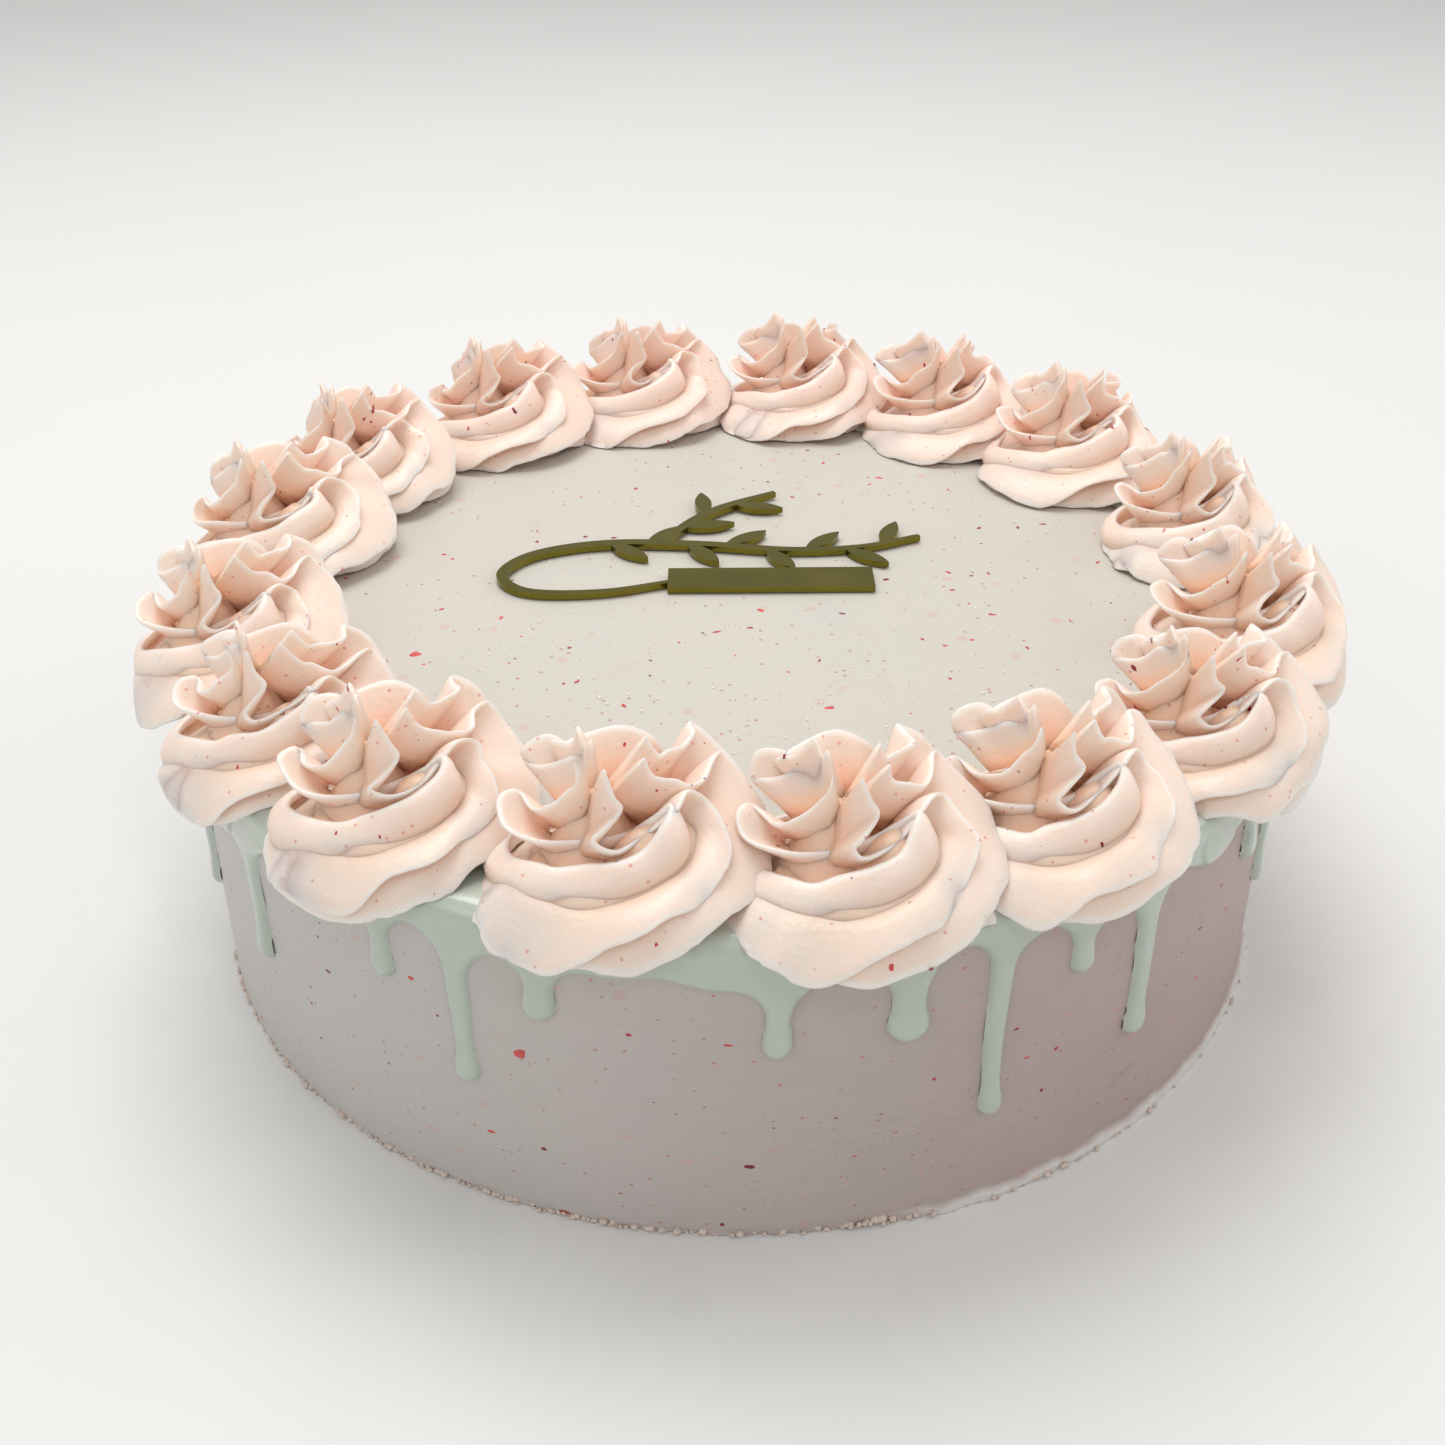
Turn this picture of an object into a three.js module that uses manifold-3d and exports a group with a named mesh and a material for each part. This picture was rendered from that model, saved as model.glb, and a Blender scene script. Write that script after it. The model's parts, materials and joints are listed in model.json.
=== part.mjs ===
// A round strawberry cake: a coated drum, a ganache drip, a ring of piped swirls and a gold ornament.
// Millimetres, +Z up. The origin is the middle of the underside, and the front of the cake faces -Y.
import * as THREE from "three";
import { mergeVertices } from "three/addons/utils/BufferGeometryUtils.js";
import Module from "manifold-3d";

const wasm = await Module();
wasm.setup();

// Driving dimensions
const CAKE_RADIUS = 127; // a ten inch cake
const CAKE_HEIGHT = 73.5;
const EDGE_RADIUS = 2.2; // scraped top edge
const CAKE_SIDES = 72;
const GAP = 0.3; // kept between pieces that touch

const RIM_WIDTH = 15; // ganache on top, in from the edge
const GANACHE_THICK = 1.5;
const BAND_DEPTH = 8.5; // mean depth of the wavy band below the top
const BAND_STEPS = 60;
const DRIP_THICK = 2.1;

const RING_RADIUS = 118; // centres of the swirls
const SWIRL_WIDTH = 46;
const RIBBON_COUNT = 6; // ribbons of a swirl, from the piping tip's teeth
const RIBBON_ROOT = 13; // half the angle that a ribbon fills at its root, degrees
const PETAL_TIP = 28.5; // top of the petals above the cake
const PETAL_SPLIT = 5; // how far the petals stand apart below their tips
const DROOP = 0.035; // how fast a ribbon sags past the cake's edge, per mm

const ORNAMENT_THICK = 1.5;
const STEM_WIDTH = 3;
const LEAF_LENGTH = 13.5;
const LEAF_WIDTH = 4.4;
const LEAF_SPREAD = 48; // degrees between a leaf and its stem
const BAR_LENGTH = 50;
const BAR_DEPTH = 10.5;
const BAR_CENTRE = new THREE.Vector2(8.6, 10);

// Where each swirl sits round the cake, degrees from +X
const SWIRL_PLACES = [
  -166, -144, -124, -100, -80, -60.5, -38.5, -14.5, 12.5, 38, 58, 80, 102.5, 123.5, 146.5, 168.5,
];

// The drips of the front half: degrees from +X, length below the top, width
const FRONT_DRIPS = [
  [-159, 46, 4.4],
  [-147, 12, 5],
  [-141, 41, 4.2],
  [-122.5, 23, 4.4],
  [-114.6, 42, 4.4],
  [-107, 21.5, 5],
  [-87.2, 26, 4.4],
  [-76.2, 25.5, 6.6],
  [-68, 49, 4.2],
  [-60, 21, 4.2],
  [-52, 44, 4.6],
  [-43, 11, 7],
  [-33.8, 23, 4.4],
  [-26, 40, 4.6],
];
const BACK_DRIP_COUNT = 18;
const BACK_DRIP_FROM = -15;
const BACK_DRIP_TO = 190;

// The levels of a swirl from its foot to its tips: height above the cake, the radius of the ribbons'
// rims, the radius of the valleys between them, and how far the ribbons have turned there in degrees
const SWIRL_LEVELS = [
  { z: -1, rim: 20, valley: 12.5, turn: -62 },
  { z: 2.5, rim: 23, valley: 14, turn: -42 },
  { z: 6.5, rim: 23, valley: 14, turn: -8 },
  { z: 10.6, rim: 22.5, valley: 13, turn: 26 },
  { z: 15, rim: 21.5, valley: 11.5, turn: 55 },
  { z: 18.5, rim: 19, valley: 9.5, turn: 72 },
  { z: 19.2, rim: 14, valley: 7, turn: 40 },
  { z: 20, rim: 13.5, valley: 5.5, turn: 8 },
  { z: 23.5, rim: 11, valley: 3.5, turn: 0 },
  { z: PETAL_TIP, rim: 4.5, valley: 1.2, turn: 0 },
];

// The ornament's sprigs: the curve of each stem, how far along it the leaves begin and end, and how many
const SPRIGS = [
  {
    stem: [
      [-14, 9],
      [-32, 3.5],
      [-50, 4],
      [-57, 13],
      [-50, 24],
      [-32, 30],
      [-8, 29],
      [14, 25.5],
      [32, 27],
      [47, 33],
    ],
    firstLeaf: 0.5,
    lastLeaf: 0.93,
    leafCount: 8,
  },
  {
    stem: [
      [-18, 30],
      [-12, 41],
      [-3, 51],
      [11, 60.5],
    ],
    firstLeaf: 0.24,
    lastLeaf: 0.68,
    leafCount: 3,
  },
];

const rad = THREE.MathUtils.degToRad;
const { lerp } = THREE.MathUtils;

// A small seeded generator, so that the same uneven cake is made each time
function seeded(seed) {
  let state = seed;
  return () => {
    state = (state * 1664525 + 1013904223) % 4294967296;
    return state / 4294967296;
  };
}

// A point at a distance from the cake's axis, at an azimuth in radians
function polar(radius, azimuth, z) {
  return new THREE.Vector3(radius * Math.cos(azimuth), radius * Math.sin(azimuth), z);
}

// A closed solid from a list of points and triangles of their indices
function solidFrom(points, triangles) {
  return new wasm.Manifold(
    new wasm.Mesh({
      numProp: 3,
      vertProperties: new Float32Array(points.flatMap((p) => [p.x, p.y, p.z])),
      triVerts: new Uint32Array(triangles.flat()),
    }),
  );
}

// A closed solid from a lathed or extruded geometry
function solidOf(geometry) {
  const bare = geometry.clone();
  bare.deleteAttribute("normal");
  bare.deleteAttribute("uv");
  const merged = mergeVertices(bare, 1e-4);
  return new wasm.Manifold(
    new wasm.Mesh({
      numProp: 3,
      vertProperties: new Float32Array(merged.attributes.position.array),
      triVerts: new Uint32Array(merged.index.array),
    }),
  );
}

// The largest body of a solid: a scrap is dropped, and a pocket that got sealed is filled
function wholeOf(solid) {
  return solid.decompose().reduce((best, body) => (body.volume() > best.volume() ? body : best));
}

function meshOf(solid, name, material) {
  const result = solid.getMesh();
  const geometry = new THREE.BufferGeometry();
  geometry.setAttribute("position", new THREE.BufferAttribute(result.vertProperties, 3));
  geometry.setIndex(new THREE.BufferAttribute(result.triVerts, 1));
  geometry.computeVertexNormals();
  const mesh = new THREE.Mesh(geometry, material);
  mesh.name = name;
  return mesh;
}

// The two triangles of a quad with these corners of the point list, split along its shorter diagonal
function quad(points, a, b, c, d) {
  if (points[a].distanceTo(points[c]) <= points[b].distanceTo(points[d])) {
    return [
      [a, b, c],
      [a, c, d],
    ];
  }
  return [
    [a, b, d],
    [b, c, d],
  ];
}

// A loft through rings of equally many points, closed by a fan at each end
function loft(rings) {
  const count = rings[0].length;
  const points = rings.flat();
  const triangles = [];
  for (let i = 0; i + 1 < rings.length; i++) {
    for (let j = 0; j < count; j++) {
      const k = (j + 1) % count;
      triangles.push(...quad(points, i * count + j, i * count + k, (i + 1) * count + k, (i + 1) * count + j));
    }
  }
  for (const [ring, flip] of [
    [0, true],
    [rings.length - 1, false],
  ]) {
    const middle = points.length;
    const sum = rings[ring].reduce((total, p) => total.add(p), new THREE.Vector3());
    points.push(sum.divideScalar(count));
    for (let j = 0; j < count; j++) {
      const a = ring * count + j;
      const b = ring * count + ((j + 1) % count);
      triangles.push(flip ? [middle, b, a] : [middle, a, b]);
    }
  }
  return solidFrom(points, triangles);
}

// A ring swept round the cake's axis, each section a closed list of points
function hoop(sections) {
  const count = sections[0].length;
  const points = sections.flat();
  const triangles = [];
  sections.forEach((_, i) => {
    const next = (i + 1) % sections.length;
    for (let j = 0; j < count; j++) {
      const k = (j + 1) % count;
      triangles.push(...quad(points, i * count + j, next * count + j, next * count + k, i * count + k));
    }
  });
  return solidFrom(points, triangles);
}

function lathe(profile) {
  const outline = profile.map(([x, y]) => new THREE.Vector2(x, y));
  return solidOf(new THREE.LatheGeometry(outline, CAKE_SIDES).rotateX(Math.PI / 2));
}

// The rounded top edge of the drum, or a skin at a distance outside it, from the wall to the top
function topEdge(distance) {
  const reach = EDGE_RADIUS + distance;
  return [0, 45, 90].map((angle) => [
    CAKE_RADIUS - EDGE_RADIUS + reach * Math.cos(rad(angle)),
    CAKE_HEIGHT - EDGE_RADIUS + reach * Math.sin(rad(angle)),
  ]);
}

// The coated drum
function cakeBody() {
  return lathe([[0, 0], [CAKE_RADIUS, 0], ...topEdge(0), [0, CAKE_HEIGHT]]);
}

// How far the wavy lower edge of the ganache band hangs below the top
function bandDepth(azimuth) {
  return BAND_DEPTH + 1.5 * Math.sin(7 * azimuth + 0.6) + 1.1 * Math.sin(13 * azimuth + 2.1);
}

// One section of the ganache: in from the top's edge, over it and down the wall
function ganacheSection(azimuth) {
  const wall = CAKE_RADIUS + GAP;
  const skin = wall + GANACHE_THICK;
  const rim = CAKE_RADIUS - RIM_WIDTH;
  const top = CAKE_HEIGHT + GAP;
  const low = CAKE_HEIGHT - bandDepth(azimuth);
  return [
    [rim, top],
    ...topEdge(GAP).reverse(),
    [wall, low],
    [skin - 0.4, low + 0.4],
    [skin, low + 2],
    ...topEdge(GAP + GANACHE_THICK),
    [rim + 1, top + GANACHE_THICK],
  ].map(([radius, z]) => polar(radius, azimuth, z));
}

// One drip: half-round sections down the wall, a narrow neck and a fuller end
function drip(degrees, length, width) {
  const azimuth = rad(degrees);
  const top = CAKE_HEIGHT - 2 * EDGE_RADIUS;
  const end = CAKE_HEIGHT - length;
  const wall = CAKE_RADIUS + GAP;
  const bulge = Math.min(end + 0.7 * width, lerp(top, end, 0.7));
  const stations = [
    { z: top, wide: 1.6, thick: 0.6 },
    { z: lerp(top, bulge, 0.55), wide: 0.85, thick: 0.85 },
    { z: bulge, wide: 1.05, thick: 1 },
    { z: end, wide: 0.5, thick: 0.45 },
  ];
  const rings = stations.map(({ z, wide, thick }) => {
    const half = (0.5 * wide * width) / wall;
    const out = wall + thick * DRIP_THICK;
    const shoulder = lerp(wall, out, 0.8);
    return [
      polar(wall, azimuth + half, z),
      polar(shoulder, azimuth + 0.6 * half, z),
      polar(out, azimuth, z),
      polar(shoulder, azimuth - 0.6 * half, z),
      polar(wall, azimuth - half, z),
    ];
  });
  return loft(rings);
}

// The back isn't in view, so its drips are spread evenly, long and short in turn
function backDrips() {
  const random = seeded(11);
  const step = (BACK_DRIP_TO - BACK_DRIP_FROM) / BACK_DRIP_COUNT;
  return Array.from({ length: BACK_DRIP_COUNT }, (_, i) => [
    BACK_DRIP_FROM + step * (i + 0.3 * random()),
    i % 2 ? lerp(14, 28, random()) : lerp(30, 48, random()),
    lerp(4.2, 5.4, random()),
  ]);
}

function ganache() {
  const sections = [];
  for (let i = 0; i < BAND_STEPS; i++) sections.push(ganacheSection((2 * Math.PI * i) / BAND_STEPS));
  let solid = hoop(sections);
  for (const [degrees, length, width] of [...FRONT_DRIPS, ...backDrips()]) {
    solid = solid.add(drip(degrees, length, width));
  }
  return wholeOf(solid);
}

// One star-shaped section of a swirl
function swirlSection(level, variation) {
  const points = [];
  const isTip = level.z === PETAL_TIP;
  const pitch = 360 / RIBBON_COUNT;
  for (let k = 0; k < RIBBON_COUNT; k++) {
    const bearing = pitch * k + level.turn + variation.bearing;
    points.push(polar(level.rim * variation.size, rad(bearing), level.z + (isTip ? variation.tip : 0)));
    for (const offset of [RIBBON_ROOT, pitch - RIBBON_ROOT]) {
      points.push(polar(level.valley, rad(bearing + offset), level.z - (isTip ? PETAL_SPLIT : 0)));
    }
  }
  return points;
}

// Past the cake's edge nothing holds a ribbon up, so it hangs
function sagged(point) {
  const past = Math.max(0, Math.hypot(point.x, point.y) - CAKE_RADIUS + 2);
  const above = Math.max(0, point.z - CAKE_HEIGHT);
  point.z -= DROOP * past * past * Math.exp(-above / 9);
  return point;
}

// What no swirl may enter: the cake, its ganache and the drips, with a gap
function keepOut() {
  const wall = CAKE_RADIUS + DRIP_THICK + 2 * GAP;
  const rim = CAKE_RADIUS - RIM_WIDTH - 2 * GAP;
  const edge = topEdge(GANACHE_THICK + 2 * GAP);
  return lathe([
    [0, -1],
    [wall, -1],
    [wall, CAKE_HEIGHT - 3 * EDGE_RADIUS],
    ...edge,
    [rim, CAKE_HEIGHT + GANACHE_THICK + 2 * GAP],
    [rim, CAKE_HEIGHT + GAP],
    [0, CAKE_HEIGHT + GAP],
  ]);
}

// The wedge of the ring that belongs to one swirl, between its neighbours
function sector(from, to) {
  const inner = 60;
  const outer = 190;
  const low = CAKE_HEIGHT - 40;
  const high = CAKE_HEIGHT + 50;
  const side = (degrees, shift) => {
    const along = polar(1, rad(degrees), 0);
    const across = new THREE.Vector3(-along.y, along.x, 0).multiplyScalar(shift);
    return [inner, outer].map((radius) => along.clone().multiplyScalar(radius).add(across));
  };
  const [a, b] = side(from, GAP / 2);
  const [d, c] = side(to, -GAP / 2);
  const ring = (z) => [a, b, c, d].map((p) => new THREE.Vector3(p.x, p.y, z));
  return loft([ring(low), ring(high)]);
}

function swirl(index, blocked) {
  const random = seeded(100 + index);
  const count = SWIRL_PLACES.length;
  const place = SWIRL_PLACES[index];
  const before = SWIRL_PLACES[(index + count - 1) % count] - (index === 0 ? 360 : 0);
  const after = SWIRL_PLACES[(index + 1) % count] + (index === count - 1 ? 360 : 0);
  const room = 0.5 * RING_RADIUS * rad(after - before);
  const variation = {
    bearing: lerp(-7, 7, random()),
    tip: lerp(-1, 1, random()),
    size: Math.max(1, room / SWIRL_WIDTH) * lerp(0.99, 1.03, random()),
  };
  const centre = RING_RADIUS + lerp(-1.5, 1.5, random());
  const placed = new THREE.Matrix4().makeRotationZ(rad(place));
  placed.multiply(new THREE.Matrix4().makeTranslation(centre, 0, CAKE_HEIGHT));
  const sections = SWIRL_LEVELS.map((level) =>
    swirlSection(level, variation).map((point) => sagged(point.applyMatrix4(placed))),
  );
  const share = sector((before + place) / 2, (place + after) / 2);
  return wholeOf(loft(sections).subtract(blocked).intersect(share));
}

// A flat plate of the ornament's thickness lying on the cake
function plate(outline) {
  const geometry = new THREE.ExtrudeGeometry(new THREE.Shape(outline), {
    depth: ORNAMENT_THICK,
    bevelEnabled: false,
  });
  return solidOf(geometry.translate(0, 0, CAKE_HEIGHT + GAP));
}

// A stem: a ribbon along a curve, full in the middle and fine at the ends
function stem(curve, steps) {
  const left = [];
  const right = [];
  for (let i = 0; i <= steps; i++) {
    const t = i / steps;
    const p = curve.getPoint(t);
    const along = curve.getTangent(t);
    const half = 0.5 * STEM_WIDTH * (0.45 + 0.55 * Math.sin(Math.PI * t));
    left.push(new THREE.Vector2(p.x - along.y * half, p.y + along.x * half));
    right.push(new THREE.Vector2(p.x + along.y * half, p.y - along.x * half));
  }
  return plate([...right, ...left.reverse()]);
}

// A pointed leaf from its stalk along a heading in radians
function leaf(stalk, heading) {
  const steps = 3;
  const edge = (side, i) => {
    const t = i / steps;
    const half = 0.5 * LEAF_WIDTH * Math.sin(Math.PI * t) ** 0.8;
    const point = new THREE.Vector2(LEAF_LENGTH * t, side * half);
    return point.rotateAround(new THREE.Vector2(), heading).add(stalk);
  };
  const outline = [];
  for (let i = 0; i < steps; i++) outline.push(edge(-1, i));
  for (let i = steps; i > 0; i--) outline.push(edge(1, i));
  return plate(outline);
}

// A sprig: a stem with leaves to its left and right in turn
function sprig({ stem: points, firstLeaf, lastLeaf, leafCount }) {
  const curve = new THREE.CatmullRomCurve3(points.map(([x, y]) => new THREE.Vector3(x, y, 0)));
  let solid = stem(curve, 3 * points.length);
  for (let i = 0; i < leafCount; i++) {
    const t = lerp(firstLeaf, lastLeaf, i / (leafCount - 1));
    const stalk = curve.getPointAt(t);
    const along = curve.getTangentAt(t);
    const side = i % 2 ? 1 : -1;
    const heading = Math.atan2(along.y, along.x) + side * rad(LEAF_SPREAD);
    solid = solid.add(leaf(new THREE.Vector2(stalk.x, stalk.y), heading));
  }
  return solid;
}

// The gold ornament: two sprigs that leave a plain bar in a wide curl
function ornament() {
  const half = new THREE.Vector2(BAR_LENGTH / 2, BAR_DEPTH / 2);
  const bar = plate([
    new THREE.Vector2(BAR_CENTRE.x - half.x, BAR_CENTRE.y - half.y),
    new THREE.Vector2(BAR_CENTRE.x + half.x, BAR_CENTRE.y - half.y),
    new THREE.Vector2(BAR_CENTRE.x + half.x, BAR_CENTRE.y + half.y),
    new THREE.Vector2(BAR_CENTRE.x - half.x, BAR_CENTRE.y + half.y),
  ]);
  return wholeOf(SPRIGS.map(sprig).reduce((all, piece) => all.add(piece), bar));
}

const buttercream = { roughness: 0.45, metalness: 0 };
const coating = new THREE.MeshStandardMaterial({ color: 0xe3d5cb, ...buttercream });
const piping = new THREE.MeshStandardMaterial({ color: 0xf0d6c8, ...buttercream });
const glaze = new THREE.MeshStandardMaterial({ color: 0xd3dad2, roughness: 0.2, metalness: 0 });
const gold = new THREE.MeshStandardMaterial({ color: 0x8a7327, roughness: 0.15, metalness: 1 });

const cake = new THREE.Group();
cake.add(meshOf(cakeBody(), "cake_body", coating));
cake.add(meshOf(ganache(), "ganache_drip", glaze));
const blocked = keepOut();
SWIRL_PLACES.forEach((_, index) => {
  const name = `rosette_${String(index + 1).padStart(2, "0")}`;
  cake.add(meshOf(swirl(index, blocked), name, piping));
});
cake.add(meshOf(ornament(), "topper", gold));

export default cake;
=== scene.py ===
"""A strawberry buttercream cake: a smooth coat, a ganache drip, a ring of piped swirls and a gold
ornament."""
import json
import math

import bpy
import numpy as np
from mathutils import Matrix, Vector

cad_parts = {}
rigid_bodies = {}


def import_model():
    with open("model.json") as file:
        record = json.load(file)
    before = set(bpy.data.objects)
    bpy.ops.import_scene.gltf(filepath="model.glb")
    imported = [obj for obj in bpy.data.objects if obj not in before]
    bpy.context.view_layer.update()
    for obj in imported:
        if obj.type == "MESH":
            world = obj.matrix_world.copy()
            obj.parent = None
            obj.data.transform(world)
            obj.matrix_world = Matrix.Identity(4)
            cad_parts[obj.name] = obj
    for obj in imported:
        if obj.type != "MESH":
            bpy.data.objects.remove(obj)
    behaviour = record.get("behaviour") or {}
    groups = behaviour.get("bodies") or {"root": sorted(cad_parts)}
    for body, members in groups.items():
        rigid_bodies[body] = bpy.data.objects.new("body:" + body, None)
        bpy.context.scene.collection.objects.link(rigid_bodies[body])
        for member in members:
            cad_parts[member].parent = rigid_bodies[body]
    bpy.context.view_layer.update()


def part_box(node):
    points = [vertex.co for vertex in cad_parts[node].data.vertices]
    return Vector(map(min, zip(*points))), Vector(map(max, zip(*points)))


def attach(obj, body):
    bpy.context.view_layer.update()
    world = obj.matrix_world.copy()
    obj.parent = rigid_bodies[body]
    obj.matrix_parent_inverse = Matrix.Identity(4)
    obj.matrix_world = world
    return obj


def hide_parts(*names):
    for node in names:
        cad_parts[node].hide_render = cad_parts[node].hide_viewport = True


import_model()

# Lengths below are in millimetres and angles in degrees, unless a name says otherwise
MM = 0.001
body_low, body_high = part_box("cake_body")
CAKE_RADIUS = 0.5 * (body_high[0] - body_low[0]) / MM
CAKE_HEIGHT = body_high[2] / MM
EDGE_RADIUS = 2.2
GAP = 0.3  # what lies on the cake starts this far from its surface

# Noise: how many values it has, and the factors that spread its cells over them
NOISE_VALUES = 4096
NOISE_FACTORS = np.array([73856093, 19349663, 83492791])

# Coat
COAT_COLUMNS = 540
SIDE_PITCH, TOP_PITCH = 1.0, 2.5
FOOT_ZONE, FOOT_ROWS = 4, 14  # the rows are closer along the ragged foot
EDGE_ANGLES = [18, 36, 54, 72]
LAST_RADIUS = 0.8  # of the ring of points in the middle of the top
CALM_BELOW_TOP = 14  # the waves of the wall fade out over this distance to the top
WALL_WAVES = [  # how high the waves are, how wide, how many times flatter than wide, and their seed
    (0.28, 60, 3, 1), (0.12, 19, 3, 2), (0.05, 9, 6, 3),
]
LIP_FROM, LIP_TO = -78, -8  # the soft lip of buttercream along the foot
LIP_HEIGHT, LIP_THICK = 2.2, 1.1
GOUGE_AT, GOUGE_HEIGHT, GOUGE_SLANT = -52.5, 15.5, 0.45
DENT_AT, DENT_HEIGHT = -76, 26

# Ganache
RIM_WIDTH, RIM_PITCH = 15, 1.2
BAND_THICK, BAND_DEPTH = 1.5, 8.5
BAND_WAVES = [  # height, how many go round the cake, and phase in radians
    (1.5, 7, 0.6), (1.1, 13, 2.1), (0.5, 31, 0.4), (0.3, 53, 0),
]
GANACHE_PITCH = 0.5
ROUNDED_BORDER = 2.0  # how wide the rounded border of the ganache is
SKIN_SINK = 0.3  # how far its border lies inside the coat
FAR_INSIDE = 9.0  # a depth that leaves the skin whole
DRIP_THICK, DRIP_REACH = 2.0, 50  # the skin is looked for this far below the top
DRIP_BLEND = 8  # how softly a drip leaves the band
BULB_SHARE, NECK_SHARE = 0.68, 0.55  # half the width of a drip's end and neck over its width
FRONT_DRIPS = [  # place round the cake, length below the top, width
    (-159.1, 47.2, 4.4), (-145.3, 12.1, 5.0), (-141.2, 40.9, 4.2), (-122.5, 22.7, 4.2),
    (-114.6, 42.1, 4.2), (-107.0, 21.5, 5.0), (-87.2, 26.4, 4.2), (-76.2, 25.5, 6.2),
    (-68.1, 49.7, 3.8), (-59.9, 20.9, 4.0), (-51.9, 45.1, 4.4), (-43.0, 11.4, 8.0),
    (-33.8, 23.4, 4.4), (-26.3, 40.4, 4.6),
]
BACK_DRIP_COUNT = 18
BACK_DRIP_FROM, BACK_DRIP_TO = -15, 190
SHORT_DRIP, LONG_DRIP, BACK_DRIP_WIDTH = (14, 28), (30, 48), (4.0, 5.0)
DRIP_SEED = 11

# Swirls
SWIRLS = [  # place round the cake, distance from its middle, and scale across and outwards
    (-165, 117, 1.13, 1), (-144, 117, 1.13, 0.86), (-124.3, 116, 1.13, 0.96),
    (-101.5, 114.5, 1.18, 0.97), (-79.7, 116.5, 1.13, 0.99), (-59.5, 116.2, 1.13, 0.98),
    (-38.3, 117, 1.12, 0.87), (-14.5, 118, 1.13, 1.03), (12.3, 117, 1, 0.92),
    (38, 118, 1.13, 1.03), (58.5, 120, 1.12, 1.04), (80.5, 120.5, 1.12, 1.02),
    (103, 120, 1.12, 1.02), (124, 120.8, 1.14, 1.05), (147.8, 120.5, 1.13, 1.02),
    (167.5, 117, 1.24, 1.03),
]
SWIRL_SEED = 300
SWIRL_FACING = -80  # all were piped with the same turn of the hand, so they face the same way
FACING_SPREAD = 11
SWIRL_HEIGHT = (0.965, 1.012)  # lowest and highest scale upwards
CROWN_TOP = 25  # a swirl's turn from its foot to its crown ends here
OUTER_LIMIT, LIMIT_SOFTNESS = 138.8, 4
DROOP, DROOP_FROM, DROOP_WIDTH, DROOP_FADE = 0.034, 125, 10, 12  # sag past the cake's edge
RIBBON_STEPS, RIBBON_ACROSS = 128, 8
TUBE_SIDES, MOUND_SIDES = 12, 24
SMOOTHING_ROUNDS = 4
RIM_UNEVENNESS = (0.6, 0.6, 0.3)  # rightwards, outwards and upwards
SKIRT_THICK, BOWL_THICK, PETAL_THICK = (0.9, 3.6), (1.9, 3.8), (1.0, 2.5)  # at the rim and the root
SKIRT_ARCH = 0.13
BOWL = 5  # the ribbon that stands up like the rim of a bowl in front of the crown
BOWL_CENTRE, BOWL_BULGE = (-1.5, -3), 0.15
# Each table runs along the strand from its start, -3, to the hollow of its crown, 13. Every row has
# the place along the strand, then rightwards, outwards and upwards as seen by whoever piped the
# swirl.
STRAND = [
    (-3, 4, -9, 2.5), (-2, 0, -12.5, 3), (-1, -5.5, -11.5, 3.2), (0, -9, -7, 3.5),
    (1, -11.5, -1, 4), (2, -10, 5, 4.5), (3, -5, 9.5, 4.5), (4, 1, 10.5, 5), (5, 6.5, 8.5, 6.5),
    (6, 10, 4, 8.5), (7, 10.5, -1.5, 10.5),
]
CROWN_CORE = [
    (8, 8, -6.5, 12), (9, 3.5, -9, 13.5), (10, -1, -8, 15), (11, -3, -5.5, 17),
    (12, -3, -4, 18.5), (13, -2.5, -3.5, 20),
]
CORE_RADII = ([-3, -2, 7, 9, 11, 13], [2, 3, 3.6, 3, 2, 1.2])  # places along the strand, and radii
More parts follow.
